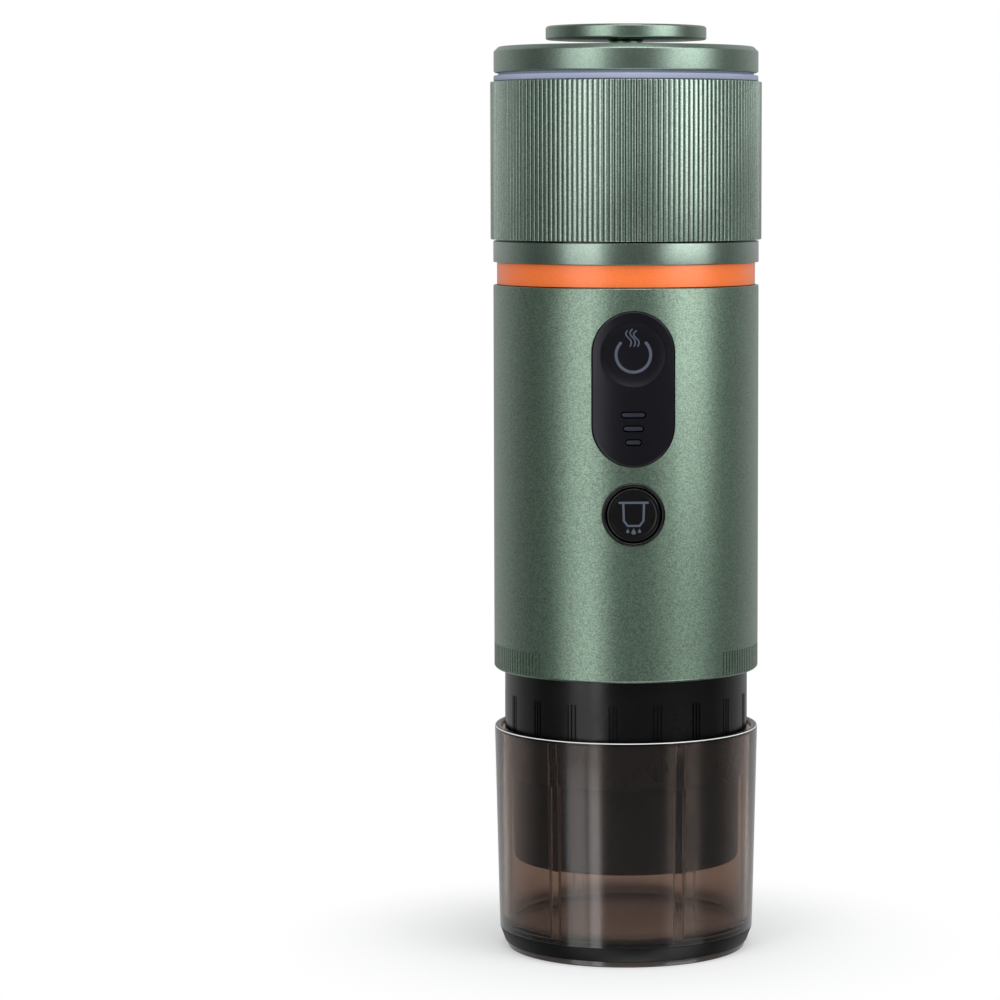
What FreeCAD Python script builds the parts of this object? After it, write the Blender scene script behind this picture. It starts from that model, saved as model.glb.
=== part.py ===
import FreeCAD, Part
import math
import os

V = FreeCAD.Vector
AXIS = V(0, 0, 1)

# Portable electric espresso maker, standing on its cup. Millimetres, +Z up, the buttons face -Y.
# The origin is the middle of the cup's foot. Angles are in degrees.

# Clearances
loose_gap = 0.3          # between pieces that come apart or turn past each other
tight_gap = 0.05         # between pieces that are pressed, glued or screwed together
running_gap = 0.05       # a shaft in its bore, on the radius

# Capsule: a common coffee capsule with a 37 mm rim. The radii of all that goes round it follow from it
capsule_height = 28.4
capsule_radius = 15.0
capsule_rim_width = 3.5
capsule_rim_height = 1.2
capsule_taper = 0.8      # of the side, up to the shoulder
capsule_shoulder = 5.2
capsule_cone = 2.4       # of the shoulder, on the radius
capsule_wall = 0.5
foil = 0.25

# Capsule holder: skirt, threaded neck and chamber
skirt_height = 22.5
skirt_inset = 1.6        # behind the adapter ring
skirt_taper = 0.4
skirt_wall = 1.4
skirt_round = 1.2
neck_height = 11.9
neck_wall = 4.45
thread_gap = 0.45
chamber_depth = 26.0
chamber_wall = 1.7
holder_floor = 3.1
spout_radius = 4.6
spout_bore = 3.0
spout_drop = 3.1
plate_radius = 12.4
plate_thickness = 0.6
pyramid_pitch = 2.4
pyramid_base = 1.5
pyramid_tip = 0.5
pyramid_height = 0.6

# Adapter: ribbed ring, capsule collar and needles
ring_wall = 3.4
ring_height = 29.6
ring_chamfer = 0.8
flute_count = 18
flute_height = 22.0
flute_width = 0.6
flute_pitch = 1.0
flute_depth = 0.6
notch_height = 4.4
collar_lip = 1.2         # inside the seal
collar_wall = 1.2        # outside the seal
collar_space = 2.3       # between collar and chamber
seal_overhang = 1.7      # of the seal past the capsule's rim
seal_thickness = 1.8
seal_stand = 0.8         # how far the seal stands out of the collar
web_count = 8
web_angle = 22.5
web_thickness = 1.8
web_height = 11.0
roof_thickness = 3.5
boss_radius = 5.0
water_bore = 1.6
needle_plate_rise = 0.5  # above the capsule
needle_plate_thickness = 1.4
needle_count = 3
needle_circle = 7.0
needle_radius = 1.0
needle_length = 3.6
spigot_wall = 2.0
spigot_height = 5.0
tab_count = 3
tab_reach = 1.7
tab_height = 2.0
tab_angle = 30.0
tab_room = 0.4           # round and above the tabs
gasket_radius = 4.8
gasket_thickness = 2.0

# Cup
cup_height = 58.9
cup_gap = 1.0            # between the adapter ring and the cup's rim
cup_taper = 1.15
cup_wall = 1.75
cup_floor = 4.0
cup_corner = 4.0         # inside rounding between wall and floor
foot_inset = 2.1
foot_width = 3.0
foot_height = 1.45
foot_recess = 1.0        # hollow under the floor
heel_ring_height = 3.9
heel_ring_inset = 0.1
heel_ring_depth = 2.6
heel_ring_taper = 1.4      # of the ring's side, from its top in to its foot
heel_round = 4.6         # height over which the wall swells out above the heel ring
cup_rib_count = 6
cup_rib_width = 2.8
cup_rib_angle = 22.0     # first rib, anticlockwise from the front
cup_rib_height = 7.4     # of a rib above the ledge that carries the adapter
cup_seat_drop = 12.8     # of that ledge below the rim

# Machine body
ring_inset = 2.8         # of the adapter ring behind the body's surface
body_wall = 1.5
body_chamfer = 0.5
ring_cover = 1.7         # how far the body hangs down over the adapter
socket_wall = 1.35
socket_lip = 2.2
socket_roof = 3.0
nipple_radius = 2.4
nipple_height = 5.0

# Front controls
panel_width = 21.3
panel_height = 39.7
panel_room = 0.25        # under the chassis ceiling
panel_depth = 3.4
panel_edge = 0.5
dish_radius = 8.2
dish_depth = 1.2
dish_drop = 11.1         # of the dish's middle below the panel's top
key_gap = 0.1
key_travel = 0.6
light_widths = (6.0, 4.7, 3.6)
light_height = 1.4
light_pitch = 3.5
light_drop = 15.25       # of the widest light below the dish's middle
light_recess = 0.6
bezel_radius = 8.1
bezel_rim = 0.9
bezel_stand = 0.5
bezel_space = 4.05       # between panel and bezel
cap_gap = 0.4
cap_recess = 0.3
button_travel = 0.8
plunger_radius = 2.5
plunger_root = 0.5       # how far a plunger reaches into its key

# Inside the body
plate_floor = 2.0
post_width = 3.0
post_depth = 4.0
board_width = 24.0
board_setback = 9.8      # of the board's rear face behind the body's surface
board_above = 6.15       # the power key's middle
board_below = 19.4       # the brew key's middle
board_thickness = 1.6
switch_size = 6.0
switch_height = 2.0
switch_stud = 1.7
cell_radius = 9.25
cell_height = 65.0
cell_side = 0.75         # of plastic between a cell and the body
cell_gap = 0.2           # from cell to cell
cell_nub = 3.0
cell_nub_height = 1.0
battery_shift = 2.6      # of the cells above the middle of the chassis
tray_floor = 1.5
tray_wall = 3.5
tray_side = 1.0          # of plastic inside the cells
tray_end = 1.5           # of plastic beside the last cell
tray_post = 3.0
pump_offset = 4.0        # of motor and pump towards the front
motor_radius = 12.2
motor_height = 31.0
motor_nose = 5.0
motor_bore = 10.0
motor_room = 2.25        # over the terminals
terminal_height = 2.4
terminal_spacing = 12.0
shelf_thickness = 2.5
shelf_reach = 5.0        # of the shelf behind the axis
shaft_radius = 1.5
shaft_grip = 9.0         # of the shaft inside the motor
shaft_rise = 1.0         # of the shaft's foot above the valve head
cam_radius = 6.5
cam_offset = 1.5
cam_height = 5.0
cam_rise = 2.5           # above the pump block
pump_radius = 12.3
pump_wall = 1.8
pump_block = 7.0
pump_cage_height = 20.5
pump_window = 11.0
pump_head_height = 7.0
pump_ear = 4.5
hose_wall = 0.8
hose_room = 17.75        # between the chassis floor and the pump
hose_sweep = 8.0         # how strongly the pressure hose bends
outlet_space = 0.7       # between the suction hose and the shelf
outlet_y = -8.0
port_width = 9.0
port_height = 3.2
port_depth = 7.4
port_wall = 0.35
port_inset = 1.0         # behind the body's bore
port_board_width = 16.0
flap_width = 14.4
flap_height = 8.6
flap_thickness = 1.3
hinge_radius = 0.4
hinge_sink = 0.1         # of the flap's barrel under the body's surface

# Water tank and lid
spigot_depth = 3.4       # of the tank deck inside the body
deck_step = 1.8
deck_wall = 2.0
deck_floor = 3.8
trim_gap = 0.2
accent_height = 5.8
accent_inset = 0.95
plain_height = 5.3
shadow_gap = 0.8
shadow_inset = 0.8
heater_inset = 2.6
heater_thickness = 2.4
sensor_radius = 2.5
sensor_length = 3.0
sleeve_stand = 0.7       # of the ridges in front of the body's surface
sleeve_height = 40.8
sleeve_wall = 2.0
ridge_count = 160
ridge_height = 0.5
ridge_share = 0.42       # of the pitch that a ridge's crest takes
tank_jacket = 2.9        # of air between sleeve and tank
tank_wall = 1.0
tank_flange = 0.9
lid_inset = 0.9
lid_seal_height = 1.55
lid_seal_neck = 0.7
lid_seal_step = 1.2
lid_height = 6.75
lid_top = 2.2
lid_side = 2.2
lid_bevel = 1.25
plug_gap = 1.4
plug_depth = 8.0
plug_wall = 2.4
plug_top = 1.5           # of the plug's ceiling above the lid's lower edge
ring_cord_radius = 1.0   # of the plug's sealing ring
knob_radius = 21.0
knob_height = 3.5
knob_bevel = 0.7
knob_lift = 1.85
knob_spigot = 3.6
knob_reach = 2.0         # of the spigot's foot above the lid's lower edge
stem_radius = 4.4
screw_length = 2.5
screw_head = 2.0

# Heights worked out from the sizes above, from the foot up
heel_top = foot_height + heel_ring_height
cup_floor_top = foot_recess + cup_floor
seat_height = cup_height - cup_seat_drop
neck_top = seat_height + neck_height
chamber_floor = neck_top - chamber_depth
capsule_base = chamber_floor + tight_gap
capsule_top = capsule_base + capsule_height
seal_base = capsule_base + capsule_rim_height + 2 * tight_gap
collar_base = seal_base + seal_stand
needle_plate_base = capsule_top + needle_plate_rise
roof_base = needle_plate_base + needle_plate_thickness + tight_gap
shoulder = seat_height + ring_height
gasket_base = shoulder + loose_gap + tight_gap
socket_base = shoulder + loose_gap
body_base = socket_base - ring_cover
spigot_top = shoulder + spigot_height
socket_ceiling = spigot_top + tab_room
socket_top = socket_ceiling + socket_roof
chassis_base = socket_top + tight_gap
chassis_floor = chassis_base + plate_floor
pump_head_base = chassis_floor + hose_room
pump_head_top = pump_head_base + pump_head_height
pump_top = pump_head_top + pump_cage_height
shelf_base = pump_top + tight_gap
motor_base = shelf_base + shelf_thickness + tight_gap
motor_top = motor_base + motor_height
chassis_ceiling = motor_top + terminal_height + motor_room
chassis_top = chassis_ceiling + plate_floor
deck_base = chassis_top + tight_gap
body_top = deck_base + spigot_depth
accent_base = body_top + trim_gap
plain_base = accent_base + accent_height
plain_top = plain_base + plain_height
deck_top = plain_top + shadow_gap
deck_floor_base = deck_top - deck_floor
sleeve_top = deck_top + sleeve_height
tank_base = deck_top + tight_gap
lid_seal_base = sleeve_top + tight_gap
lid_seal_top = lid_seal_base + lid_seal_height
lid_base = lid_seal_top + lid_seal_neck
lid_crown = lid_base + lid_height
cell_middle = (chassis_floor + chassis_ceiling) / 2 + battery_shift
cap_ceiling = cell_middle + cell_height / 2 + cell_nub_height
cell_base = cap_ceiling - cell_nub_height - cell_height
tray_base = cell_base - tight_gap - tray_floor
panel_top = chassis_ceiling - panel_room
panel_middle = panel_top - panel_height / 2
dish_middle = panel_top - dish_drop
bezel_middle = panel_top - panel_height - bezel_space - bezel_radius
port_middle = chassis_floor + tight_gap + board_thickness + port_height / 2
flap_axis_height = port_middle - flap_height / 2 + hinge_radius

# Radii and distances worked out from the sizes above, from the capsule out
capsule_rim_radius = capsule_radius + capsule_rim_width
capsule_shoulder_radius = capsule_radius - capsule_taper
capsule_top_radius = capsule_shoulder_radius - capsule_cone
collar_bore = capsule_radius + 2 * loose_gap
seal_bore = collar_bore + collar_lip
seal_radius = capsule_rim_radius + seal_overhang
collar_radius = seal_radius + collar_wall
chamber_radius = collar_radius + collar_space
neck_radius = chamber_radius + neck_wall
ring_bore = neck_radius + thread_gap
ring_radius = ring_bore + ring_wall
skirt_top_radius = ring_radius - skirt_inset
skirt_bottom_radius = skirt_top_radius - skirt_taper
cup_rim_radius = ring_radius + cup_gap + cup_wall
cup_base_radius = cup_rim_radius - cup_taper
foot_radius = cup_base_radius - foot_inset
heel_ring_radius = cup_base_radius - heel_ring_inset
heel_seat = heel_ring_radius - heel_ring_depth
body_radius = ring_radius + ring_inset
body_bore = body_radius - body_wall
socket_cavity = body_bore - tight_gap - socket_wall
tab_radius = socket_cavity - tab_room
spigot_radius = tab_radius - tab_reach
deck_radius = body_bore - deck_step
accent_radius = body_radius - accent_inset
shadow_radius = body_radius - shadow_inset
sleeve_radius = body_radius + sleeve_stand
tank_radius = sleeve_radius - sleeve_wall - tank_jacket - tank_wall
heater_radius = tank_radius - heater_inset
lid_radius = sleeve_radius - lid_inset
plug_radius = tank_radius - plug_gap
board_distance = body_radius - board_setback
board_front = board_distance + board_thickness
switch_front = board_front + switch_height
hose_bore = nipple_radius + tight_gap
hose_radius = hose_bore + hose_wall
shelf_half = board_width / 2 + tight_gap + post_width
outlet_x = shelf_half + outlet_space + hose_radius
cell_circle = body_bore - loose_gap - cell_side - cell_radius
cell_angle = 2 * math.degrees(math.asin((cell_radius + cell_gap / 2) / cell_circle))
tray_half_angle = cell_angle + math.degrees(math.asin((cell_radius + tray_end) / cell_circle))
port_front = body_bore - port_inset
flap_axis = body_radius - hinge_sink - hinge_radius


def rounded_wire(corners, place):
    """Closed wire through corners (a, b). A third number rounds that corner with this radius."""
    starts = []
    middles = []
    ends = []
    for index, corner in enumerate(corners):
        here = V(corner[0], corner[1], 0)
        if len(corner) == 2:
            starts.append(here)
            middles.append(None)
            ends.append(here)
            continue
        last = corners[index - 1]
        following = corners[(index + 1) % len(corners)]
        back = (V(last[0], last[1], 0) - here).normalize()
        forth = (V(following[0], following[1], 0) - here).normalize()
        half_angle = back.getAngle(forth) / 2
        inward = (back + forth).normalize()
        starts.append(here + back * (corner[2] / math.tan(half_angle)))
        middles.append(here + inward * (corner[2] / math.sin(half_angle) - corner[2]))
        ends.append(here + forth * (corner[2] / math.tan(half_angle)))
    edges = []
    for index, middle in enumerate(middles):
        if middle:
            edges.append(Part.Arc(place(starts[index]), place(middle), place(ends[index])).toShape())
        following = starts[(index + 1) % len(corners)]
        if ends[index].distanceToPoint(following) > 0.0001:
            edges.append(Part.makeLine(place(ends[index]), place(following)))
    return Part.Wire(edges)


def turned(corners):
    """Solid turned about the upright axis from a half section of (radius, height) corners."""
    face = Part.Face(rounded_wire(corners, lambda p: V(p.x, 0, p.y)))
    return face.revolve(V(0, 0, 0), AXIS, 360)


def front_turned(corners, height):
    """Solid turned about a line that faces the front, from (radius, distance from the axis) corners."""
    face = Part.Face(rounded_wire(corners, lambda p: V(p.x, -p.y, height)))
    return face.revolve(V(0, 0, height), V(0, 1, 0), 360)


def prism(corners, bottom, top):
    """Plan outline of (x, y) corners, standing between two heights."""
    face = Part.Face(rounded_wire(corners, lambda p: V(p.x, p.y, bottom)))
    return face.extrude(V(0, 0, top - bottom))


def front_prism(corners, near, far):
    """Front outline of (x, z) corners, running from one distance in front of the axis to another."""
    face = Part.Face(rounded_wire(corners, lambda p: V(p.x, -near, p.y)))
    return face.extrude(V(0, near - far, 0))


def block(width, depth, bottom, top, x=0.0, y=0.0):
    """Upright block with its middle at x, y."""
    return Part.makeBox(width, depth, top - bottom, V(x - width / 2, y - depth / 2, bottom))


def rod(radius, bottom, top, x=0.0, y=0.0):
    """Upright round rod at x, y."""
    return Part.makeCylinder(radius, top - bottom, V(x, y, bottom))


def ring(inner, outer, bottom, top):
    """Plain ring about the upright axis."""
    return turned([(inner, bottom), (outer, bottom), (outer, top), (inner, top)])


def ring_part(inner, outer, bottom, top, middle, sweep):
    """Part of a ring: sweep degrees wide, with its middle so many degrees from the front."""
    section = Part.makePolygon([V(inner, 0, bottom), V(outer, 0, bottom), V(outer, 0, top),
                                V(inner, 0, top), V(inner, 0, bottom)])
    solid = Part.Face(section).revolve(V(0, 0, 0), AXIS, sweep)
    return swung(solid, middle - 90 - sweep / 2)


def swung(shape, angle):
    """Copy of a shape, turned about the upright axis."""
    copy = shape.copy()
    copy.rotate(V(0, 0, 0), AXIS, angle)
    return copy


def around(shape, count, first=0.0):
    """Copies of a shape, spaced evenly about the upright axis."""
    return [swung(shape, first + 360.0 * index / count) for index in range(count)]


def fused(shapes):
    """One solid from shapes that meet."""
    return shapes[0].multiFuse(shapes[1:]).removeSplitter()


def oblong(width, height, x, z):
    """Corners of an upright or lying slot shape with full round ends."""
    rounding = min(width, height) / 2
    return [(x + side * width / 2, z + rise * height / 2, rounding)
            for side, rise in ((-1, -1), (1, -1), (1, 1), (-1, 1))]


def round_outline(radius, z):
    """Corners of a round outline at a height on the front."""
    return oblong(2 * radius, 2 * radius, 0, z)


def through_front(corners):
    """Cutter from the board's front out past the body's surface."""
    return front_prism(corners, board_front, body_radius + 2)


def cell_places():
    """Plan positions of the battery cells, along an arc at the back."""
    angles = [math.radians(90 + cell_angle * step) for step in (-1, 0, 1)]
    return [(cell_circle * math.cos(angle), cell_circle * math.sin(angle)) for angle in angles]


# Cup

def cup_inside(height):
    """Inner radius of the cup's tapered wall at a height."""
    share = (height - cup_floor_top) / (cup_height - cup_floor_top)
    return cup_base_radius - cup_wall + share * (cup_rim_radius - cup_base_radius)


def cup():
    """Tumbler with a foot ring, a groove for the heel ring, and ribs with a ledge for the adapter."""
    wall = turned([
        (0, foot_recess),
        (foot_radius - foot_width, foot_recess, 0.4),
        (foot_radius - foot_width, 0, 0.4),
        (foot_radius, 0, 0.4),
        (foot_radius, foot_height),
        (heel_seat, foot_height),
        (heel_seat, heel_top),
        (heel_ring_radius - 0.2, heel_top),
        (cup_base_radius, heel_top + heel_round, 5),
        (cup_rim_radius, cup_height, 0.6),
        (cup_inside(cup_height), cup_height, 0.6),
        (cup_inside(cup_floor_top), cup_floor_top, cup_corner),
        (0, cup_floor_top)])
    rib_top = seat_height + cup_rib_height
    ledge = skirt_top_radius + loose_gap + 0.2
    rib_face = ring_radius + loose_gap
    band = turned([
        (ledge, heel_top + 0.2),
        (cup_inside(cup_floor_top) + cup_wall / 2, heel_top + 0.2),
        (cup_inside(rib_top) + cup_wall / 2, rib_top),
        (rib_face, rib_top),
        (rib_face, seat_height),
        (ledge, seat_height)])
    half = cup_rib_width / 2
    slab = front_prism([(-half, 0), (half, 0), (half, rib_top, half), (-half, rib_top, half)],
                       ledge - 1, cup_rim_radius + 1)
    rib = band.common(slab)
    return fused([wall] + around(rib, cup_rib_count, cup_rib_angle))


def cup_heel_ring():
    """Soft ring round the foot, its side tapering in towards the table."""
    inner = heel_seat + tight_gap
    bottom = foot_height + tight_gap
    top = heel_top - tight_gap
    return turned([(inner, bottom), (heel_ring_radius - heel_ring_taper, bottom, 0.3),
                   (heel_ring_radius, top, 0.2), (inner, top)])


# Capsule holder

def capsule_holder():
    """Bowl under the capsule: cored skirt, threaded neck, chamber and outlet spout."""
    skirt_base = seat_height - skirt_height
    floor_base = chamber_floor - plate_thickness - pyramid_height - holder_floor
    core_top = seat_height - 2.6
    core_inner = chamber_radius + chamber_wall
    core_outer = skirt_top_radius - skirt_wall - 0.4
    plate_seat = chamber_floor - plate_thickness - pyramid_height
    bowl = turned([
        (spout_bore, floor_base - spout_drop),
        (spout_radius, floor_base - spout_drop),
        (spout_radius + 0.8, floor_base, 0.5),
        (core_inner, floor_base, 0.8),
        (core_inner, core_top, 0.6),
        (core_outer, core_top, 0.6),
        (skirt_bottom_radius - skirt_wall, skirt_base),
        (skirt_bottom_radius, skirt_base, skirt_round),
        (skirt_top_radius, seat_height),
        (neck_radius, seat_height),
        (neck_radius, neck_top, 0.8),
        (chamber_radius, neck_top, 0.6),
        (chamber_radius, chamber_floor, 1.0),
        (plate_radius + tight_gap, chamber_floor),
        (plate_radius + tight_gap, plate_seat),
        (spout_bore, plate_seat)])
    return bowl


def piercing_plate():
    """Steel plate with rows of small pyramids that tear the foil, and holes for the coffee."""
    base = chamber_floor - pyramid_height - plate_thickness + tight_gap
    top = base + plate_thickness
    pieces = [rod(plate_radius, base, top)]
    reach = int(plate_radius / pyramid_pitch)
    for column in range(-reach, reach + 1):
        for row in range(-reach, reach + 1):
            x = column * pyramid_pitch
            y = row * pyramid_pitch
            if math.hypot(x, y) < plate_radius - pyramid_base:
                pieces.append(pyramid(x, y, top))
    plate = fused(pieces)
    holes = [rod(0.45, base - 1, top + 1, (column + 0.5) * pyramid_pitch, (row + 0.5) * pyramid_pitch)
             for column in (-1, 0) for row in (-1, 0)]
    return plate.cut(holes)


def pyramid(x, y, base):
    """Small cut-off pyramid."""
    low = pyramid_base / 2
    high = pyramid_tip / 2
    bottom = Part.makePolygon([V(x + a * low, y + b * low, base - 0.05)
                               for a, b in ((-1, -1), (1, -1), (1, 1), (-1, 1), (-1, -1))])
    top = Part.makePolygon([V(x + a * high, y + b * high, base + pyramid_height - tight_gap)
                            for a, b in ((-1, -1), (1, -1), (1, 1), (-1, 1), (-1, -1))])
    return Part.makeLoft([bottom, top], True)


# Capsule

def capsule_shell():
    """Drawn aluminium cup with a curled rim, standing rim down, pierced by the needles at its top."""
    rim_base = capsule_base + foil
    rim_top = capsule_base + capsule_rim_height
    shoulder_z = capsule_top - capsule_shoulder
    shell = turned([
        (capsule_radius - capsule_wall, rim_base),
        (capsule_rim_radius, rim_base, 0.4),
        (capsule_rim_radius, rim_top, 0.4),
        (capsule_radius + 0.3, rim_top - 0.3, 0.2),
        (capsule_shoulder_radius, shoulder_z, 1.5),
        (capsule_top_radius, capsule_top, 0.8),
        (0, capsule_top),
        (0, capsule_top - capsule_wall),
        (capsule_top_radius - capsule_wall, capsule_top - capsule_wall),
        (capsule_shoulder_radius - capsule_wall, shoulder_z)])
    holes = [rod(needle_radius + loose_gap, capsule_top - 2, capsule_top + 1, needle_circle)]
    return shell.cut(around(holes[0], needle_count))


def capsule_foil():
    """Foil across the rim."""
    return rod(capsule_rim_radius - 0.4, capsule_base, capsule_base + foil)


# Adapter

def adapter_ring():
    """Ribbed ring with a bayonet spigot, radial webs, capsule collar, roof and water boss."""
    bore_top = shoulder - 6
    spigot_bore = spigot_radius - spigot_wall
    outer = turned([
        (ring_bore, seat_height, 0.4),
        (ring_radius - ring_chamfer, seat_height),
        (ring_radius, seat_height + ring_chamfer),
        (ring_radius, shoulder, 0.4),
        (spigot_radius, shoulder),
        (spigot_radius, spigot_top, 0.4),
        (spigot_bore, spigot_top, 0.4),
        (spigot_bore, bore_top + 1.5),
        (ring_bore, bore_top)])
    outer = outer.cut(flutes())
    roof_top = roof_base + roof_thickness
    collar = turned([
        (water_bore, roof_base),
        (collar_bore, roof_base),
        (collar_bore, collar_base, 0.5),
        (collar_radius, collar_base, 0.5),
        (collar_radius, roof_top, 0.8),
        (boss_radius, roof_top, 1.5),
        (boss_radius, gasket_base - tight_gap),
        (water_bore, gasket_base - tight_gap)])
    groove = ring(seal_bore - tight_gap, seal_radius + tight_gap,
                  collar_base - 1, seal_base + seal_thickness + tight_gap)
    collar = collar.cut(groove)
    web_base = neck_top + 1.0
    web = block(ring_bore - collar_radius + 1.0, web_thickness, web_base, web_base + web_height,
                (ring_bore + collar_radius) / 2)
    tab = ring_part(spigot_radius - 0.5, tab_radius, spigot_top - tab_height, spigot_top, 0, tab_angle)
    return fused([outer, collar] + around(web, web_count, web_angle) + around(tab, tab_count))


def flutes():
    """Grip flutes: three tall grooves side by side, and between them two short ones at the lower edge."""
    cuts = []
    for step in (-1, 0, 1):
        cuts += around(groove(step * flute_pitch, flute_height), flute_count, 180.0 / flute_count)
    for step in (-0.5, 0.5):
        cuts += around(groove(step * flute_pitch, notch_height), flute_count)
    return cuts


def groove(middle, height):
    """Cutter for one upright groove in the ring's lower edge."""
    half = flute_width / 2
    return front_prism([(middle - half, seat_height - 1), (middle + half, seat_height - 1),
                        (middle + half, seat_height + height), (middle - half, seat_height + height)],
                       ring_radius - flute_depth, ring_radius + 1)


def needle_plate():
    """Steel disc with needles that open the capsule."""
    disc = turned([(water_bore, needle_plate_base), (collar_bore - tight_gap, needle_plate_base),
                   (collar_bore - tight_gap, roof_base - tight_gap), (water_bore, roof_base - tight_gap)])
    needle = Part.makeCone(0.15, needle_radius, needle_length, V(needle_circle, 0, needle_plate_base - needle_length))
    return fused([disc] + around(needle, needle_count))


def collar_seal():
    """Flat silicone ring that presses on the capsule's rim."""
    top = seal_base + seal_thickness
    return turned([(seal_bore, seal_base, 0.3), (seal_radius, seal_base, 0.3), (seal_radius, top), (seal_bore, top)])


def head_gasket():
    """Silicone washer between the adapter's boss and the machine's nozzle."""
    top = gasket_base + gasket_thickness
    return turned([(water_bore + 0.2, gasket_base), (gasket_radius, gasket_base, 0.4),
                   (gasket_radius, top, 0.4), (water_bore + 0.2, top)])


# Machine: brew head and body

def head_socket():
    """Bayonet socket with slots for the tabs, and the hot water nozzle in its roof."""
    lip_top = socket_base + socket_lip
    lip_bore = spigot_radius + loose_gap
    nozzle_base = gasket_base + gasket_thickness + tight_gap
    socket = turned([
        (lip_bore, socket_base, 0.4),
        (body_bore - tight_gap, socket_base),
        (body_bore - tight_gap, socket_top),
        (nipple_radius, socket_top),
        (nipple_radius, socket_top + nipple_height, 0.4),
        (water_bore, socket_top + nipple_height),
        (water_bore, nozzle_base),
        (gasket_radius, nozzle_base),
        (gasket_radius, socket_ceiling, 1.0),
        (socket_cavity, socket_ceiling),
        (socket_cavity, lip_top),
        (lip_bore, lip_top)])
    slot = ring_part(lip_bore - 1, socket_cavity, socket_base - 1, lip_top + 0.5, 0, tab_angle + 6)
    return socket.cut(around(slot, tab_count))


def body_tube():
    """Anodised outer tube with openings for the panel, the button and the charging port."""
    tube = turned([
        (body_bore, body_base),
        (body_radius - body_chamfer, body_base),
        (body_radius, body_base + body_chamfer),
        (body_radius, body_top - 0.3),
        (body_radius - 0.3, body_top),
        (body_bore, body_top)])
    panel_cut = through_front(oblong(panel_width + 2 * tight_gap, panel_height + 2 * tight_gap, 0, panel_middle))
    bezel_cut = through_front(round_outline(bezel_radius + tight_gap, bezel_middle))
    flap_cut = through_front(oblong(flap_width + 2 * loose_gap, flap_height + 2 * loose_gap, 0, port_middle))
    return tube.cut([panel_cut, bezel_cut, swung(flap_cut, 180)])


# Machine: front controls

def panel_skin():
    """Oblong soft panel following the body's curve, with the shallow thumb dish sunk in its upper end."""
    shape = through_front(oblong(panel_width, panel_height, 0, panel_middle))
    shell = ring(body_radius - panel_depth, body_radius, panel_middle - panel_height, panel_middle + panel_height)
    skin = shape.common(shell)
    outer_edges = [edge for edge in skin.Edges
                   if all(abs(math.hypot(point.x, point.y) - body_radius) < 0.01
                          for point in edge.discretize(5))]
    skin = skin.makeFillet(panel_edge, outer_edges)
    return skin.cut(dish_tool())


def dish_tool():
    """Barrel-like tool: its bow upright and sideways makes the dish's edge round on the curved panel."""
    upright = dish_radius ** 2 / (2 * dish_depth)
    sideways = 1 / (1 / upright - 1 / body_radius)
    middle = V(0, -(body_radius - dish_depth + sideways), dish_middle)
    return Part.makeTorus(sideways - upright, upright, middle, AXIS)


def control_panel():
    """Panel with openings for the power key and the charge lights."""
    hole = through_front(round_outline(dish_radius, dish_middle))
    slots = [through_front(oblong(width, light_height, 0, height)) for width, height in light_places()]
    return panel_skin().cut([hole] + slots)


def light_places():
    """Width and height above the foot of each charge light, from the widest down."""
    return [(width, dish_middle - light_drop - index * light_pitch) for index, width in enumerate(light_widths)]


def power_button():
    """Dished round key with a plunger that reaches its switch."""
    key = panel_skin().common(through_front(round_outline(dish_radius - key_gap, dish_middle)))
    root = body_radius - panel_depth + plunger_root
    tip = switch_front + key_travel + tight_gap
    plunger = front_turned([(0, tip), (plunger_radius, tip), (plunger_radius, root), (0, root)], dish_middle)
    return fused([key, plunger])


def light_bars():
    """Clear bars that carry the charge lights from the board into the panel's slots."""
    bars = [front_prism(oblong(width - 2 * tight_gap, light_height - 2 * tight_gap, 0, height),
                        board_front + tight_gap, body_radius - light_recess)
            for width, height in light_places()]
    return Part.makeCompound(bars)


def button_bezel():
    """Round frame of the brew button, standing a little proud of the body."""
    front = body_radius + bezel_stand
    bore = bezel_radius - bezel_rim
    back = body_radius - panel_depth
    return front_turned([(bore, back), (bezel_radius, back), (bezel_radius, front, 0.5), (bore, front, 0.3)],
                        bezel_middle)


def brew_button():
    """Round key inside the bezel, with a collar behind and a plunger that reaches its switch."""
    radius = bezel_radius - bezel_rim - cap_gap
    front = body_radius + bezel_stand - cap_recess
    root = body_radius - panel_depth + plunger_root
    tip = switch_front + button_travel + tight_gap
    return front_turned([(0, tip), (plunger_radius, tip), (plunger_radius, root), (radius, root),
                         (radius, front, 0.5), (0, front)], bezel_middle)


def control_board():
    """Circuit board behind the controls, held between the chassis posts."""
    half = board_width / 2
    base = bezel_middle - board_below
    top = dish_middle + board_above
    return front_prism([(-half, base, 1), (half, base, 1), (half, top, 1), (-half, top, 1)],
                       board_distance, board_front)


def key_switches():
    """Push switches on the board behind the two keys."""
    half = switch_size / 2
    switches = []
    for height in (dish_middle, bezel_middle):
        case = front_prism([(-half, height - half), (half, height - half),
                            (half, height + half), (-half, height + half)], board_front, switch_front - 0.5)
        stud = front_turned([(0, switch_front - 0.6), (switch_stud, switch_front - 0.6),
                             (switch_stud, switch_front), (0, switch_front)], height)
        switches.append(fused([case, stud]))
    return Part.makeCompound(switches)


# Machine: chassis, battery, motor and pump

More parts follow.
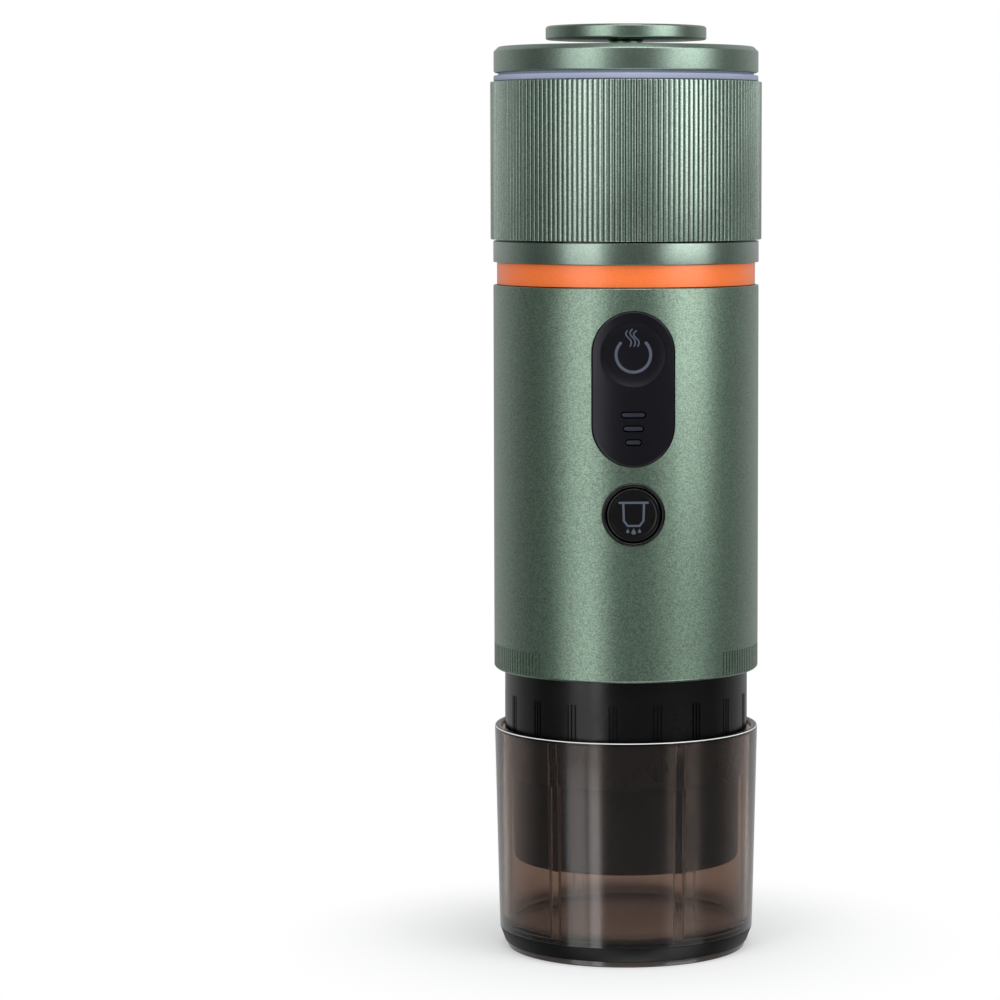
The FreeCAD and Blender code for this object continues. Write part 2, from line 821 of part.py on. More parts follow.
def chassis():
    """Frame with a floor, a ceiling, two posts for the board, a motor shelf and posts for the battery."""
    radius = body_bore - loose_gap
    post_x = shelf_half - post_width / 2
    post_y = -(board_distance + board_thickness / 2)
    pieces = [rod(radius, chassis_base, chassis_floor), rod(radius, chassis_ceiling, chassis_top)]
    for side in (-1, 1):
        pieces.append(block(post_width, post_depth, chassis_floor - 0.5, chassis_top - 0.5, side * post_x, post_y))
    shelf_front = -(board_distance - loose_gap)
    pieces.append(prism([(-shelf_half, shelf_front), (shelf_half, shelf_front),
                         (shelf_half, shelf_reach, 4), (-shelf_half, shelf_reach, 4)],
                        shelf_base, shelf_base + shelf_thickness))
    for x, y in (cell_places()[0], cell_places()[2]):
        pieces.append(rod(tray_post, chassis_floor - 0.5, tray_base - tight_gap, x, y))
    frame = fused(pieces)
    holes = [
        rod(motor_nose + loose_gap, shelf_base - 1, shelf_base + 4, 0, -pump_offset),
        rod(hose_radius + loose_gap, chassis_top - 4, chassis_top + 1, outlet_x, outlet_y),
        rod(hose_radius + loose_gap, chassis_base - 1, chassis_floor + 1)]
    return frame.cut(holes)


def battery_tray():
    """Curved tray with a pocket for the foot of each cell."""
    inner = cell_circle - cell_radius - tray_side
    tray = ring_part(inner, body_bore - loose_gap, tray_base, cell_base + tray_wall, 180, 2 * tray_half_angle)
    pockets = [rod(cell_radius + tight_gap, tray_base + tray_floor, cell_base + 10, x, y) for x, y in cell_places()]
    return tray.cut(pockets)


def battery_cap():
    """Curved cap over the cells, reaching up to the chassis ceiling."""
    inner = cell_circle - cell_radius - tray_side
    skirt = cap_ceiling - cell_nub_height - tray_wall
    cap = ring_part(inner, body_bore - loose_gap, skirt, chassis_ceiling - tight_gap, 180, 2 * tray_half_angle)
    pockets = [rod(cell_radius + tight_gap, skirt - 1, cap_ceiling + tight_gap, x, y) for x, y in cell_places()]
    return cap.cut(pockets)


def battery_cells():
    """Round lithium cells, each with the raised contact on top."""
    cells = []
    for x, y in cell_places():
        can = rod(cell_radius, cell_base, cell_base + cell_height, x, y)
        nub = rod(cell_nub, cell_base + cell_height - 0.1, cap_ceiling, x, y)
        cells.append(fused([can, nub]))
    return Part.makeCompound(cells)


def motor():
    """Direct current motor standing on the shelf, its nose through the shelf's hole."""
    can = turned([
        (shaft_radius + running_gap, shelf_base + loose_gap),
        (motor_nose, shelf_base + loose_gap),
        (motor_nose, motor_base),
        (motor_radius, motor_base, 0.8),
        (motor_radius, motor_top, 0.8),
        (0, motor_top),
        (0, motor_base + motor_bore),
        (shaft_radius + running_gap, motor_base + motor_bore)])
    terminals = [block(2.0, 0.6, motor_top - 0.1, motor_top + terminal_height, side * terminal_spacing / 2)
                 for side in (-1, 1)]
    can = fused([can] + terminals)
    can.translate(V(0, -pump_offset, 0))
    return can


def drive_shaft():
    """Motor shaft with the eccentric that works the pump."""
    base = pump_head_top + shaft_rise
    top = motor_base + shaft_grip
    cam_base = pump_head_top + pump_block + cam_rise
    shaft = rod(shaft_radius, base, top)
    cam = rod(cam_radius, cam_base, cam_base + cam_height, cam_offset, 0)
    drive = fused([shaft, cam])
    drive.translate(V(0, -pump_offset, 0))
    return drive


def pump_housing():
    """Pump block under an open cage that hangs from the motor shelf."""
    cage = turned([
        (shaft_radius + running_gap, pump_head_top + tight_gap),
        (pump_radius, pump_head_top + tight_gap),
        (pump_radius, pump_top),
        (pump_radius - pump_wall, pump_top),
        (pump_radius - pump_wall, pump_head_top + pump_block, 1.0),
        (shaft_radius + running_gap, pump_head_top + pump_block)])
    window = block(pump_window, 3 * pump_radius, pump_head_top + pump_block + 1.5, pump_top - 2.0)
    cage = cage.cut([window])
    cage.translate(V(0, -pump_offset, 0))
    return cage


def pump_head():
    """Valve head under the pump, with the suction nipple on an ear and the pressure nipple below."""
    disc = rod(pump_radius, pump_head_base, pump_head_top, 0, -pump_offset)
    ear = prism([(0, -pump_offset - pump_ear), (outlet_x, outlet_y - pump_ear), (outlet_x + pump_ear, outlet_y, 3),
                 (outlet_x, outlet_y + pump_ear), (0, -pump_offset + pump_ear)], pump_head_base, pump_head_top - 1)
    suction = rod(nipple_radius, pump_head_top - 2, pump_head_top - 1 + nipple_height, outlet_x, outlet_y)
    pressure = rod(nipple_radius, pump_head_base - nipple_height, pump_head_base + 1, 0, -pump_offset)
    head = fused([disc, ear, suction, pressure])
    bores = [rod(water_bore, pump_head_base + 3, pump_head_top + nipple_height, outlet_x, outlet_y),
             rod(water_bore, pump_head_base - nipple_height - 1, pump_head_base + 3, 0, -pump_offset)]
    return head.cut(bores)


def suction_hose():
    """Silicone hose from the tank's outlet straight down to the pump."""
    bottom = pump_head_top - 1 + tight_gap
    top = deck_floor_base - tight_gap
    bore = rod(hose_bore, bottom - 1, top + 1, outlet_x, outlet_y)
    return rod(hose_radius, bottom, top, outlet_x, outlet_y).cut(bore)


def pressure_hose():
    """Hose from the pump down to the nozzle, in a gentle double bend."""
    top = pump_head_base - tight_gap
    bottom = socket_top + plate_floor + loose_gap
    bend_top = top - nipple_height
    bend_bottom = bottom + nipple_height - 1
    bend = Part.BSplineCurve()
    bend.interpolate([V(0, -pump_offset, bend_top), V(0, 0, bend_bottom)],
                     Tangents=[V(0, 0, -hose_sweep), V(0, 0, -hose_sweep)], TangentFlags=[True, True])
    path = Part.Wire([Part.makeLine(V(0, -pump_offset, top), V(0, -pump_offset, bend_top)), bend.toShape(),
                      Part.makeLine(V(0, 0, bend_bottom), V(0, 0, bottom))])
    walls = []
    for radius in (hose_radius, hose_bore):
        profile = Part.Wire(Part.makeCircle(radius, V(0, -pump_offset, top), AXIS))
        walls.append(path.makePipeShell([profile], True, False))
    return walls[0].cut(walls[1])


def port_board():
    """Small board on the chassis floor that carries the charging socket."""
    base = chassis_floor + tight_gap
    middle = port_front - port_inset - port_board_width / 2
    return block(port_board_width, port_board_width, base, base + board_thickness, 0, middle)


def charging_port():
    """Metal shell of the charging socket, open to the back."""
    back = port_front - port_depth
    shell = front_prism(oblong(port_width, port_height, 0, port_middle), back, port_front)
    hollow = front_prism(oblong(port_width - 2 * port_wall, port_height - 2 * port_wall, 0, port_middle),
                         back + 1, port_front + 1)
    half = port_width / 2 - 4 * port_wall
    tongue = front_prism([(-half, port_middle - port_wall), (half, port_middle - port_wall),
                          (half, port_middle + port_wall), (-half, port_middle + port_wall)],
                         back + 0.5, port_front - 1)
    return swung(fused([shell.cut(hollow), tongue]), 180)


def port_flap():
    """Soft cover of the charging socket, curved like the body, turning on a round barrel at its lower edge."""
    shell = ring(body_radius - flap_thickness, body_radius, port_middle - flap_height, port_middle + flap_height)
    cover = through_front(oblong(flap_width, flap_height, 0, port_middle)).common(shell)
    length = flap_width - flap_height
    edge = block(length, 4 * flap_thickness, flap_axis_height - flap_thickness, flap_axis_height, 0, -body_radius)
    barrel = Part.makeCylinder(hinge_radius, length, V(-length / 2, -flap_axis, flap_axis_height), V(1, 0, 0))
    return swung(fused([cover.cut(edge), barrel]), 180)


# Water tank

def tank_deck():
    """Deck that closes the body, carries the rings and the tank, and holds the heater."""
    bore = deck_radius - deck_wall
    deck = turned([
        (0, deck_floor_base),
        (bore, deck_floor_base, 1.0),
        (bore, deck_base),
        (body_bore - tight_gap, deck_base),
        (body_bore - tight_gap, accent_base - tight_gap),
        (deck_radius, accent_base - tight_gap),
        (deck_radius, plain_top + tight_gap),
        (shadow_radius, plain_top + tight_gap),
        (shadow_radius, deck_top),
        (heater_radius + tight_gap, deck_top),
        (heater_radius + tight_gap, deck_top - heater_thickness),
        (0, deck_top - heater_thickness)])
    nipple = rod(nipple_radius, deck_floor_base - nipple_height, deck_floor_base + 0.5, outlet_x, outlet_y)
    bore_hole = rod(water_bore, deck_floor_base - nipple_height - 1, deck_top + 1, outlet_x, outlet_y)
    sensor_hole = rod(sensor_radius + tight_gap, deck_floor_base - 1, deck_top, -outlet_x / 2)
    return fused([deck, nipple]).cut([bore_hole, sensor_hole])


def accent_ring():
    """Coloured ring between body and tank."""
    return ring(deck_radius + tight_gap, accent_radius, accent_base, plain_base - tight_gap)


def plain_ring():
    """Plain ring above the coloured one."""
    return turned([
        (deck_radius + tight_gap, plain_base),
        (body_radius - 0.3, plain_base),
        (body_radius, plain_base + 0.3),
        (body_radius, plain_top - 0.3),
        (body_radius - 0.3, plain_top),
        (deck_radius + tight_gap, plain_top)])


def heater_plate():
    """Round heating plate under the tank's floor."""
    top = deck_top
    plate = rod(heater_radius, top - heater_thickness + tight_gap, top)
    return plate.cut(rod(3.0, top - 5, top + 1, outlet_x, outlet_y))


def temperature_sensor():
    """Sensor against the heating plate's underside."""
    return rod(sensor_radius, deck_floor_base - sensor_length, deck_top - heater_thickness, -outlet_x / 2)


def tank_liner():
    """Steel water tank with a flange at its mouth and a drain hole."""
    outer = tank_radius + tank_wall
    flange = sleeve_radius - sleeve_wall - tight_gap
    tank = turned([
        (0, tank_base),
        (outer, tank_base, 3.0),
        (outer, sleeve_top - tank_flange),
        (flange, sleeve_top - tank_flange),
        (flange, sleeve_top),
        (tank_radius, sleeve_top, 0.4),
        (tank_radius, tank_base + tank_wall, 2.0),
        (0, tank_base + tank_wall)])
    return tank.cut(rod(water_bore, tank_base - 1, tank_base + 3, outlet_x, outlet_y))


def knurled_sleeve():
    """Grip sleeve with fine upright ridges all round."""
    points = []
    pitch = 360.0 / ridge_count
    for index in range(ridge_count):
        for radius, share in ((sleeve_radius - ridge_height, 0.0),
                              (sleeve_radius, 0.5 - ridge_share / 2),
                              (sleeve_radius, 0.5 + ridge_share / 2)):
            angle = math.radians((index + share) * pitch)
            points.append(V(radius * math.cos(angle), radius * math.sin(angle), deck_top + tight_gap))
    face = Part.Face(Part.makePolygon(points + points[:1]))
    sleeve = face.extrude(V(0, 0, sleeve_height - tight_gap))
    return sleeve.cut(rod(sleeve_radius - sleeve_wall, deck_top - 1, sleeve_top + 1))


# Lid

def lid_seal():
    """Grey silicone ring between tank and lid."""
    inner = plug_radius + loose_gap
    return turned([
        (inner, lid_seal_base),
        (lid_radius, lid_seal_base, 0.3),
        (lid_radius, lid_seal_top, 0.3),
        (lid_radius - lid_seal_step, lid_seal_top),
        (lid_radius - lid_seal_step, lid_base - tight_gap),
        (inner, lid_base - tight_gap)])


def lid_cap():
    """Metal lid with a bevel round its top and a bright chamfer round its foot."""
    inner = lid_radius - lid_side
    return turned([
        (knob_spigot + tight_gap, lid_crown - lid_top),
        (inner, lid_crown - lid_top, 0.8),
        (inner, lid_base),
        (lid_radius - 0.35, lid_base),
        (lid_radius, lid_base + 0.35),
        (lid_radius, lid_crown - lid_bevel, 0.3),
        (lid_radius - lid_bevel, lid_crown, 0.3),
        (knob_spigot + tight_gap, lid_crown)])


def lid_plug():
    """Stopper under the lid: flange inside the cap, skirt in the tank's mouth, groove for the sealing ring."""
    flange = lid_radius - lid_side - tight_gap
    top = lid_crown - lid_top - tight_gap
    bottom = sleeve_top - plug_depth
    groove_middle = plug_ring_height()
    plug = turned([
        (knob_spigot + tight_gap, top),
        (flange, top, 1.0),
        (flange, lid_base),
        (plug_radius, lid_base, 0.5),
        (plug_radius, bottom, 0.8),
        (plug_radius - plug_wall, bottom, 0.8),
        (plug_radius - plug_wall, lid_base + plug_top, 2.0),
        (knob_spigot + tight_gap, lid_base + plug_top)])
    return plug.cut(ring(plug_radius - ring_cord_radius, plug_radius + 2,
                         groove_middle - ring_cord_radius, groove_middle + ring_cord_radius))


def plug_ring_height():
    """Height of the plug's sealing ring."""
    return sleeve_top - plug_depth / 2


def plug_ring():
    """Round sealing ring in the plug's groove."""
    middle = plug_radius + tight_gap
    return Part.makeTorus(middle, ring_cord_radius - tight_gap, V(0, 0, plug_ring_height()), AXIS)


def knob():
    """Flat round handle on a short stem, with a spigot through the lid."""
    base = lid_crown + knob_lift
    top = base + knob_height
    spigot_base = lid_base + knob_reach
    return turned([
        (0, spigot_base),
        (knob_spigot, spigot_base),
        (knob_spigot, lid_crown + tight_gap),
        (stem_radius, lid_crown + tight_gap),
        (stem_radius, base, 0.5),
        (knob_radius - knob_bevel, base),
        (knob_radius, base + knob_bevel, 0.3),
        (knob_radius, top - knob_bevel, 0.3),
        (knob_radius - knob_bevel, top, 0.5),
        (0, top)])


def knob_screw():
    """Pan head screw that holds the knob from below."""
    top = lid_base + plug_top - tight_gap
    bottom = top - screw_length
    radius = knob_spigot + screw_head
    return turned([(0, bottom), (screw_head, bottom, 0.6), (radius, top - screw_length / 2, 0.6),
                   (radius, top), (0, top)])


PIECES = [
    cup, cup_heel_ring, capsule_holder, piercing_plate, capsule_shell, capsule_foil,
    adapter_ring, needle_plate, collar_seal, head_gasket, head_socket, body_tube,
    control_panel, power_button, light_bars, button_bezel, brew_button, control_board, key_switches,
    chassis, battery_tray, battery_cap, battery_cells, motor, drive_shaft, pump_housing, pump_head,
    suction_hose, pressure_hose, port_board, charging_port, port_flap,
    tank_deck, accent_ring, plain_ring, heater_plate, temperature_sensor, tank_liner, knurled_sleeve,
    lid_seal, lid_cap, lid_plug, plug_ring, knob, knob_screw]

os.makedirs("parts", exist_ok=True)
for piece in PIECES:
    piece().exportStep("parts/" + piece.__name__ + ".step")
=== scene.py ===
# %% [markdown]
# # A travel espresso maker, finished in Blender
# The construction comes in as a fixed frame: every piece already has its size and place.
# This lesson dresses it. Round pieces are drawn as half sections and spun, as on a lathe,
# and small shapes are cut or copied on top. Blender counts in metres, so a millimetre gets a name.

# %% Load the frame
import math
import bpy
import bmesh
from mathutils import Matrix, Vector


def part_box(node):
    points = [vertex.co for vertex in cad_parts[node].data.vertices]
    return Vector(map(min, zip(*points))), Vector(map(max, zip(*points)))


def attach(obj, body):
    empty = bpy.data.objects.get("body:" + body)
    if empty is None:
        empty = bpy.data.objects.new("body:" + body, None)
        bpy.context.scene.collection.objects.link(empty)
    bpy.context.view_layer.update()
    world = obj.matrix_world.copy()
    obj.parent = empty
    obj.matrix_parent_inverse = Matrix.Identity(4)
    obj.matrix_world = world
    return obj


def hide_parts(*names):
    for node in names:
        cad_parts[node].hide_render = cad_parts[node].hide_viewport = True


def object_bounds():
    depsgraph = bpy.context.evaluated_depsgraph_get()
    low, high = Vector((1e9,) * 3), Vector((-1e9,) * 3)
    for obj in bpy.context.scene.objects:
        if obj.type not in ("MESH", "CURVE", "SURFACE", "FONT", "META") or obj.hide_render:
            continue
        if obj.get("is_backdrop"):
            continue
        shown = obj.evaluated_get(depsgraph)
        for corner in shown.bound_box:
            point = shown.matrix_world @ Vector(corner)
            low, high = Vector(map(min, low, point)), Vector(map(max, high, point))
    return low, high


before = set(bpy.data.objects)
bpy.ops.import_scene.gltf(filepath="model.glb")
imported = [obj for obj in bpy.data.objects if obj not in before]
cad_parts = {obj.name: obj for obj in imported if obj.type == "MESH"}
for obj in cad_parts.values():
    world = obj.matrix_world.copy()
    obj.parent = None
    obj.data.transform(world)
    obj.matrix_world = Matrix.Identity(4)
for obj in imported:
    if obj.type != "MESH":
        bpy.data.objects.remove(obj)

cad_low, cad_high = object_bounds()
mm = 0.001
steps = 256       # of a full turn on the lathe
print("frame", [round(v / mm, 1) for v in cad_high - cad_low], "mm")

# %% [markdown]
# ## Camera
# The photograph was taken from about a metre away with a long lens, so upright edges hardly lean.
# The lens stands at the height of the grip sleeve and looks slightly down: the lower rings show as
# shallow bows, and the cup's rim is seen a little from above. The keys sit right of the middle, so
# the camera stands three degrees to the left. The object isn't in the middle of the frame either:
# turning the camera would tilt its upright edges, and shifting the lens, as here, keeps them upright.

# %% Camera
frame_pixels = 1000.0
lens_pixels = 3625.0        # focal length, counted in pixels of the frame
axis_pixel = 626.0          # where the object's upright axis stands in the frame
raised_pixels = 40.0        # how far the picture sits above the lens's own centre
camera_distance = 952.5 * mm
camera_height = 205.7 * mm
camera_pitch = math.radians(4.614)
camera_turn = math.radians(-3.2)

camera_data = bpy.data.cameras.new("camera")
camera = bpy.data.objects.new("camera", camera_data)
bpy.context.scene.collection.objects.link(camera)
camera_data.sensor_width = 36.0
camera_data.lens = lens_pixels / frame_pixels * camera_data.sensor_width
camera_data.shift_x = (frame_pixels / 2 - axis_pixel) / frame_pixels
camera_data.shift_y = -raised_pixels / frame_pixels
camera_data.clip_start = 50 * mm
camera.location = (camera_distance * math.sin(camera_turn),
                   -camera_distance * math.cos(camera_turn), camera_height)
camera.rotation_euler = (math.pi / 2 - camera_pitch, 0.0, camera_turn)
bpy.context.scene.camera = camera
bpy.context.scene.view_settings.view_transform = "Standard"
print("lens", round(camera_data.lens, 1), "mm")

# %% [markdown]
# ## Helpers for selecting and finishing
# An edit mode operator works on all that is selected, so each helper starts from nothing selected.
# Points are chosen by their place, which stays true however often the script is run.

# %% Helpers for selecting
def deselect():
    """Leaves object mode with nothing selected."""
    if bpy.context.object and bpy.context.object.mode != "OBJECT":
        bpy.ops.object.mode_set(mode="OBJECT")
    bpy.ops.object.select_all(action="DESELECT")


def pick(piece):
    """Selects one piece and makes it the active one."""
    deselect()
    bpy.context.view_layer.objects.active = piece
    piece.select_set(True)


def select_points(piece, test):
    """In edit mode, selects the vertices whose place passes the test."""
    mesh = bmesh.from_edit_mesh(piece.data)
    mesh.select_mode = {"VERT"}
    for vertex in mesh.verts:
        vertex.select = test(vertex.co)
    mesh.select_flush_mode()
    bmesh.update_edit_mesh(piece.data)


def near(place):
    """Test for a vertex that lies at a place."""
    return lambda co: (co - place).length < 0.002 * mm


def is_front(place):
    """Test for what lies in front of a distance from the axis, in millimetres."""
    return lambda co: co.y < -place * mm

# %% Helpers for finishing a mesh
def smooth(piece, degrees=32.0):
    """Smooth shading, with edges sharper than the angle left crisp."""
    pick(piece)
    bpy.ops.object.shade_smooth_by_angle(angle=math.radians(degrees))


def apply_modifiers(piece):
    """Applies every modifier of a piece."""
    pick(piece)
    for modifier in list(piece.modifiers):
        bpy.ops.object.modifier_apply(modifier=modifier.name)


def clean_solid():
    """In edit mode, merges doubles, turns all faces outwards and leaves edit mode."""
    bpy.ops.mesh.select_all(action="SELECT")
    bpy.ops.mesh.remove_doubles(threshold=0.001 * mm)
    bpy.ops.mesh.normals_make_consistent(inside=False)
    bpy.ops.object.mode_set(mode="OBJECT")


def cut(piece, tool, operation="DIFFERENCE"):
    """Cuts a piece with a tool, or joins or keeps what they share. The tool is used up."""
    boolean = piece.modifiers.new("cut", "BOOLEAN")
    boolean.operation = operation
    boolean.object = tool
    apply_modifiers(piece)
    bpy.data.objects.remove(tool)
    smooth(piece)


def round_edges(piece, width):
    """Rounds the sharp edges of a piece."""
    bevel = piece.modifiers.new("edges", "BEVEL")
    bevel.width = width * mm
    bevel.segments = 2
    bevel.angle_limit = math.radians(40.0)
    apply_modifiers(piece)
    smooth(piece)
    return piece


def join(pieces):
    """Makes several pieces one mesh, under the first one's name."""
    deselect()
    for piece in pieces:
        piece.select_set(True)
    bpy.context.view_layer.objects.active = pieces[0]
    bpy.ops.object.join()
    return pieces[0]


def finish_piece(piece, body, material, slot, *nodes):
    """Gives a piece its material and its body, and hides the nodes that it stands for; slot is not used."""
    piece.data.materials.clear()
    piece.data.materials.append(material)
    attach(piece, body)
    if nodes:
        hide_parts(*nodes)
    print(piece.name, len(piece.data.polygons), "faces")

# %% [markdown]
# ## Helpers for shaping
# Most pieces of this object are turned. A half section is drawn corner by corner with extrude,
# its corners are rounded with a vertex bevel, and spin carries it round the axis. A stack of
# cylinders would come close, but would have no rounded corners and many hidden faces.
# What faces the front is an oblong or round block, and what repeats is copied round the axis.

# %% Drawing a section
def draw_section(name, corners):
    """Line through (radius, height) corners in millimetres, left in edit mode, and its places."""
    deselect()
    bpy.ops.mesh.primitive_plane_add(size=mm)
    piece = bpy.context.object
    piece.name = name
    bpy.ops.object.mode_set(mode="EDIT")
    bpy.ops.mesh.select_mode(type="VERT")
    bpy.ops.mesh.select_all(action="SELECT")
    bpy.ops.mesh.merge(type="CENTER")
    places = [Vector((corner[0] * mm, 0, corner[1] * mm)) for corner in corners]
    bpy.ops.transform.translate(value=places[0])
    for last, here in zip(places, places[1:]):
        bpy.ops.mesh.extrude_region_move(TRANSFORM_OT_translate={"value": here - last})
    return piece, places


def spin_round(turns, degrees=360.0):
    """In edit mode, spins everything about the upright axis in so many steps."""
    bpy.ops.mesh.select_all(action="SELECT")
    bpy.ops.mesh.spin(steps=turns, angle=math.radians(degrees), center=(0, 0, 0), axis=(0, 0, 1))
    clean_solid()

# %% The lathe
def lathe(name, corners, turns=steps):
    """Solid turned about Z from (radius, height, rounding) corners in millimetres."""
    piece, places = draw_section(name, corners)
    if places[0].x > 0:
        select_points(piece, lambda co: near(places[0])(co) or near(places[-1])(co))
        bpy.ops.mesh.edge_face_add()
    for corner, place in zip(corners, places):
        if len(corner) == 3:
            select_points(piece, near(place))
            bpy.ops.mesh.bevel(offset=corner[2] * mm, segments=5, affect="VERTICES")
    spin_round(turns)
    smooth(piece)
    return piece


def span(node):
    """Radius, lowest and highest point of a round node, in millimetres."""
    low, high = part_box(node)
    return high.x / mm, low.z / mm, high.z / mm

# %% Blocks and oblongs
def block(name, low, high):
    """Block between two corners in millimetres."""
    deselect()
    middle = [(a + b) / 2 * mm for a, b in zip(low, high)]
    size = [(b - a) * mm for a, b in zip(low, high)]
    bpy.ops.mesh.primitive_cube_add(size=1, location=middle)
    bpy.context.object.scale = size
    bpy.ops.object.transform_apply(location=True, rotation=True, scale=True)
    bpy.context.object.name = name
    return bpy.context.object


def oblong_face(name, width, height, middle, distance, points):
    """Flat face with round ends that faces the front, left in edit mode."""
    deselect()
    radius = min(width, height) / 2
    bpy.ops.mesh.primitive_circle_add(
        vertices=points, radius=radius / math.cos(math.pi / points) * mm, fill_type="NGON",
        location=(0, -distance * mm, middle * mm), rotation=(math.pi / 2, math.pi / points, 0))
    bpy.ops.object.transform_apply(location=True, rotation=True, scale=True)
    piece = bpy.context.object
    piece.name = name
    bpy.ops.object.mode_set(mode="EDIT")
    for side in (-1, 1):
        select_points(piece, lambda co: (co.z - middle * mm) * side > 0)
        bpy.ops.transform.translate(value=(0, 0, side * (height / 2 - radius) * mm))
        select_points(piece, lambda co: co.x * side > 0)
        bpy.ops.transform.translate(value=(side * (width / 2 - radius) * mm, 0, 0))
    bpy.ops.mesh.select_all(action="SELECT")
    return piece


def oblong(name, width, height, middle, near_end, far_end, points):
    """Oblong block on the front, between two distances from the axis."""
    piece = oblong_face(name, width, height, middle, near_end, points)
    depth = (0, (near_end - far_end) * mm, 0)
    bpy.ops.mesh.extrude_region_move(TRANSFORM_OT_translate={"value": depth})
    bpy.ops.mesh.select_all(action="SELECT")
    bpy.ops.mesh.normals_make_consistent(inside=False)
    bpy.ops.object.mode_set(mode="OBJECT")
    return piece

# %% Turning and copying
def turn_round(piece, degrees):
    """Turns a mesh about the upright axis."""
    piece.data.transform(Matrix.Rotation(math.radians(degrees), 4, "Z"))


def copies_round(piece, angles):
    """Copies of a piece turned about the upright axis, each with its own mesh, joined to one."""
    made = []
    for angle in angles:
        copy = piece.copy()
        copy.data = piece.data.copy()
        turn_round(copy, angle)
        bpy.context.scene.collection.objects.link(copy)
        made.append(copy)
    bpy.data.objects.remove(piece)
    return join(made)


def face_front(piece, height):
    """Lays a turned piece on its side, so that its axis points to the front at a height."""
    lying = Matrix.Rotation(math.pi / 2, 4, "X")
    piece.data.transform(Matrix.Translation((0, 0, height * mm)) @ lying)
    return piece

# %% [markdown]
# ## The room
# The photograph was lit with large soft boxes, and the blasted metal shows them as soft bands. Two at
# the left stand side by side, the inner one brighter, and give the body its broad graded highlight.
# One hangs high at the right and one above. A last one lights the metal alone and is made at the end.
# Area lamps do what the boxes in a studio do; a picture of a studio wrapped round the scene would do
# it too, but would have to come from a file.

# %% Soft boxes
aim_height = 130.0      # the boxes face this height on the object's axis

def soft_box(name, azimuth, distance, height, wide, tall, brightness):
    """Rectangular lamp at an azimuth from the front, in millimetres; a brightness of 1 looks white."""
    data = bpy.data.lights.new(name, "AREA")
    data.shape = "RECTANGLE"
    data.size = wide * mm
    data.size_y = tall * mm
    data.energy = brightness * math.pi * data.size * data.size_y
    lamp = bpy.data.objects.new(name, data)
    bpy.context.scene.collection.objects.link(lamp)
    turn = math.radians(azimuth)
    lamp.location = Vector((distance * math.sin(turn), -distance * math.cos(turn), height)) * mm
    away = lamp.location - Vector((0, 0, aim_height * mm))
    lamp.rotation_euler = away.to_track_quat("Z", "Y").to_euler()
    return lamp

soft_box("left_box", -47, 850, 440, 300, 880, 1.5)
soft_box("left_strip", -30.5, 850, 440, 160, 880, 2.7)
soft_box("right_box", 53, 850, 630, 600, 760, 2.2)
soft_box("top_box", 5, 400, 950, 600, 500, 3.0)

# %% [markdown]
# ## Helpers for nodes
# Wall, floor and finishes are trees of small nodes. A sum, a ramp and a mix are needed over and over,
# so each is a helper that makes the node, links it and gives back its result.

# %% Nodes for sums, ramps and mixes
def new_nodes(tree, *kinds):
    """New shader nodes of a tree, one of each kind."""
    return [tree.nodes.new("ShaderNode" + kind) for kind in kinds]


def sums(tree, operation, *values):
    """Math node of a node tree; each value is a number or a socket."""
    node, = new_nodes(tree, "Math")
    node.operation = operation
    for socket, value in zip(node.inputs, values):
        if isinstance(value, float):
            socket.default_value = value
        else:
            tree.links.new(value, socket)
    return node.outputs["Value"]


def ramp(tree, value, start, end, low, high, softly=False):
    """Turns a value between two levels into one between two limits."""
    node, = new_nodes(tree, "MapRange")
    node.interpolation_type = "SMOOTHSTEP" if softly else "LINEAR"
    for socket, number in zip(("From Min", "From Max", "To Min", "To Max"), (start, end, low, high)):
        node.inputs[socket].default_value = number
    tree.links.new(value, node.inputs["Value"])
    return node.outputs["Result"]


def mixed_shaders(tree, factor, first, second):
    """The first shader where the factor is 0 and the second where it is 1."""
    node, = new_nodes(tree, "MixShader")
    for socket, value in zip(node.inputs, (factor, first, second)):
        tree.links.new(value, socket)
    return node.outputs["Shader"]

# %% [markdown]
# ## Wall and room
# The wall behind the object is white for the camera. Light Path tells the kinds of ray apart, so the
# same wall can show through the cup and, more weakly, in the metal's outer edges. The rest of the room
# is a dim grey that fills the shadows and is darker still in mirrors: it leaves the dark band down
# the middle of the metal. A ray through the cup sees white when it leaves towards the wall, or has
# crossed more than one wall of plastic, so that the cup looks clear from every side.

# %% What shows through the cup
def seen_through(tree, path, depth, start, end):
    """White for rays that come through the cup: behind the object, or after more than one wall."""
    behind = ramp(tree, depth, start, end, 0.0, 1.0)
    passed = ramp(tree, path.outputs["Transmission Depth"], 2.0, 3.0, 0.0, 0.7)
    either = sums(tree, "MAXIMUM", behind, passed)
    return sums(tree, "MULTIPLY", path.outputs["Is Transmission Ray"], either)

# %% White wall, dim room
wall_in_metal = 0.45        # share of the white wall that the metal's edges mirror
room_as_fill, room_in_mirrors = 0.6, 0.08
world = bpy.data.worlds.new("studio")
bpy.context.scene.world = world
world.use_nodes = True
world.cycles.sampling_method = "NONE"       # so that each ray that meets the room has its own kind
tree = world.node_tree
tree.nodes.clear()
output, wall, room = new_nodes(tree, "OutputWorld", "Background", "Background")
path, direction, parts = new_nodes(tree, "LightPath", "TexCoord", "SeparateXYZ")
tree.links.new(direction.outputs["Generated"], parts.inputs["Vector"])
away = parts.outputs["Y"]
glossy, through = path.outputs["Is Glossy Ray"], path.outputs["Is Transmission Ray"]
behind = seen_through(tree, path, away, 0.1, 0.4)
mirrored = sums(tree, "MULTIPLY", glossy, ramp(tree, away, 0.0, 0.7, 0.0, wall_in_metal))
white = sums(tree, "MAXIMUM", path.outputs["Is Camera Ray"], behind)
white = sums(tree, "MAXIMUM", white, mirrored)
in_mirrors = sums(tree, "MAXIMUM", glossy, through)
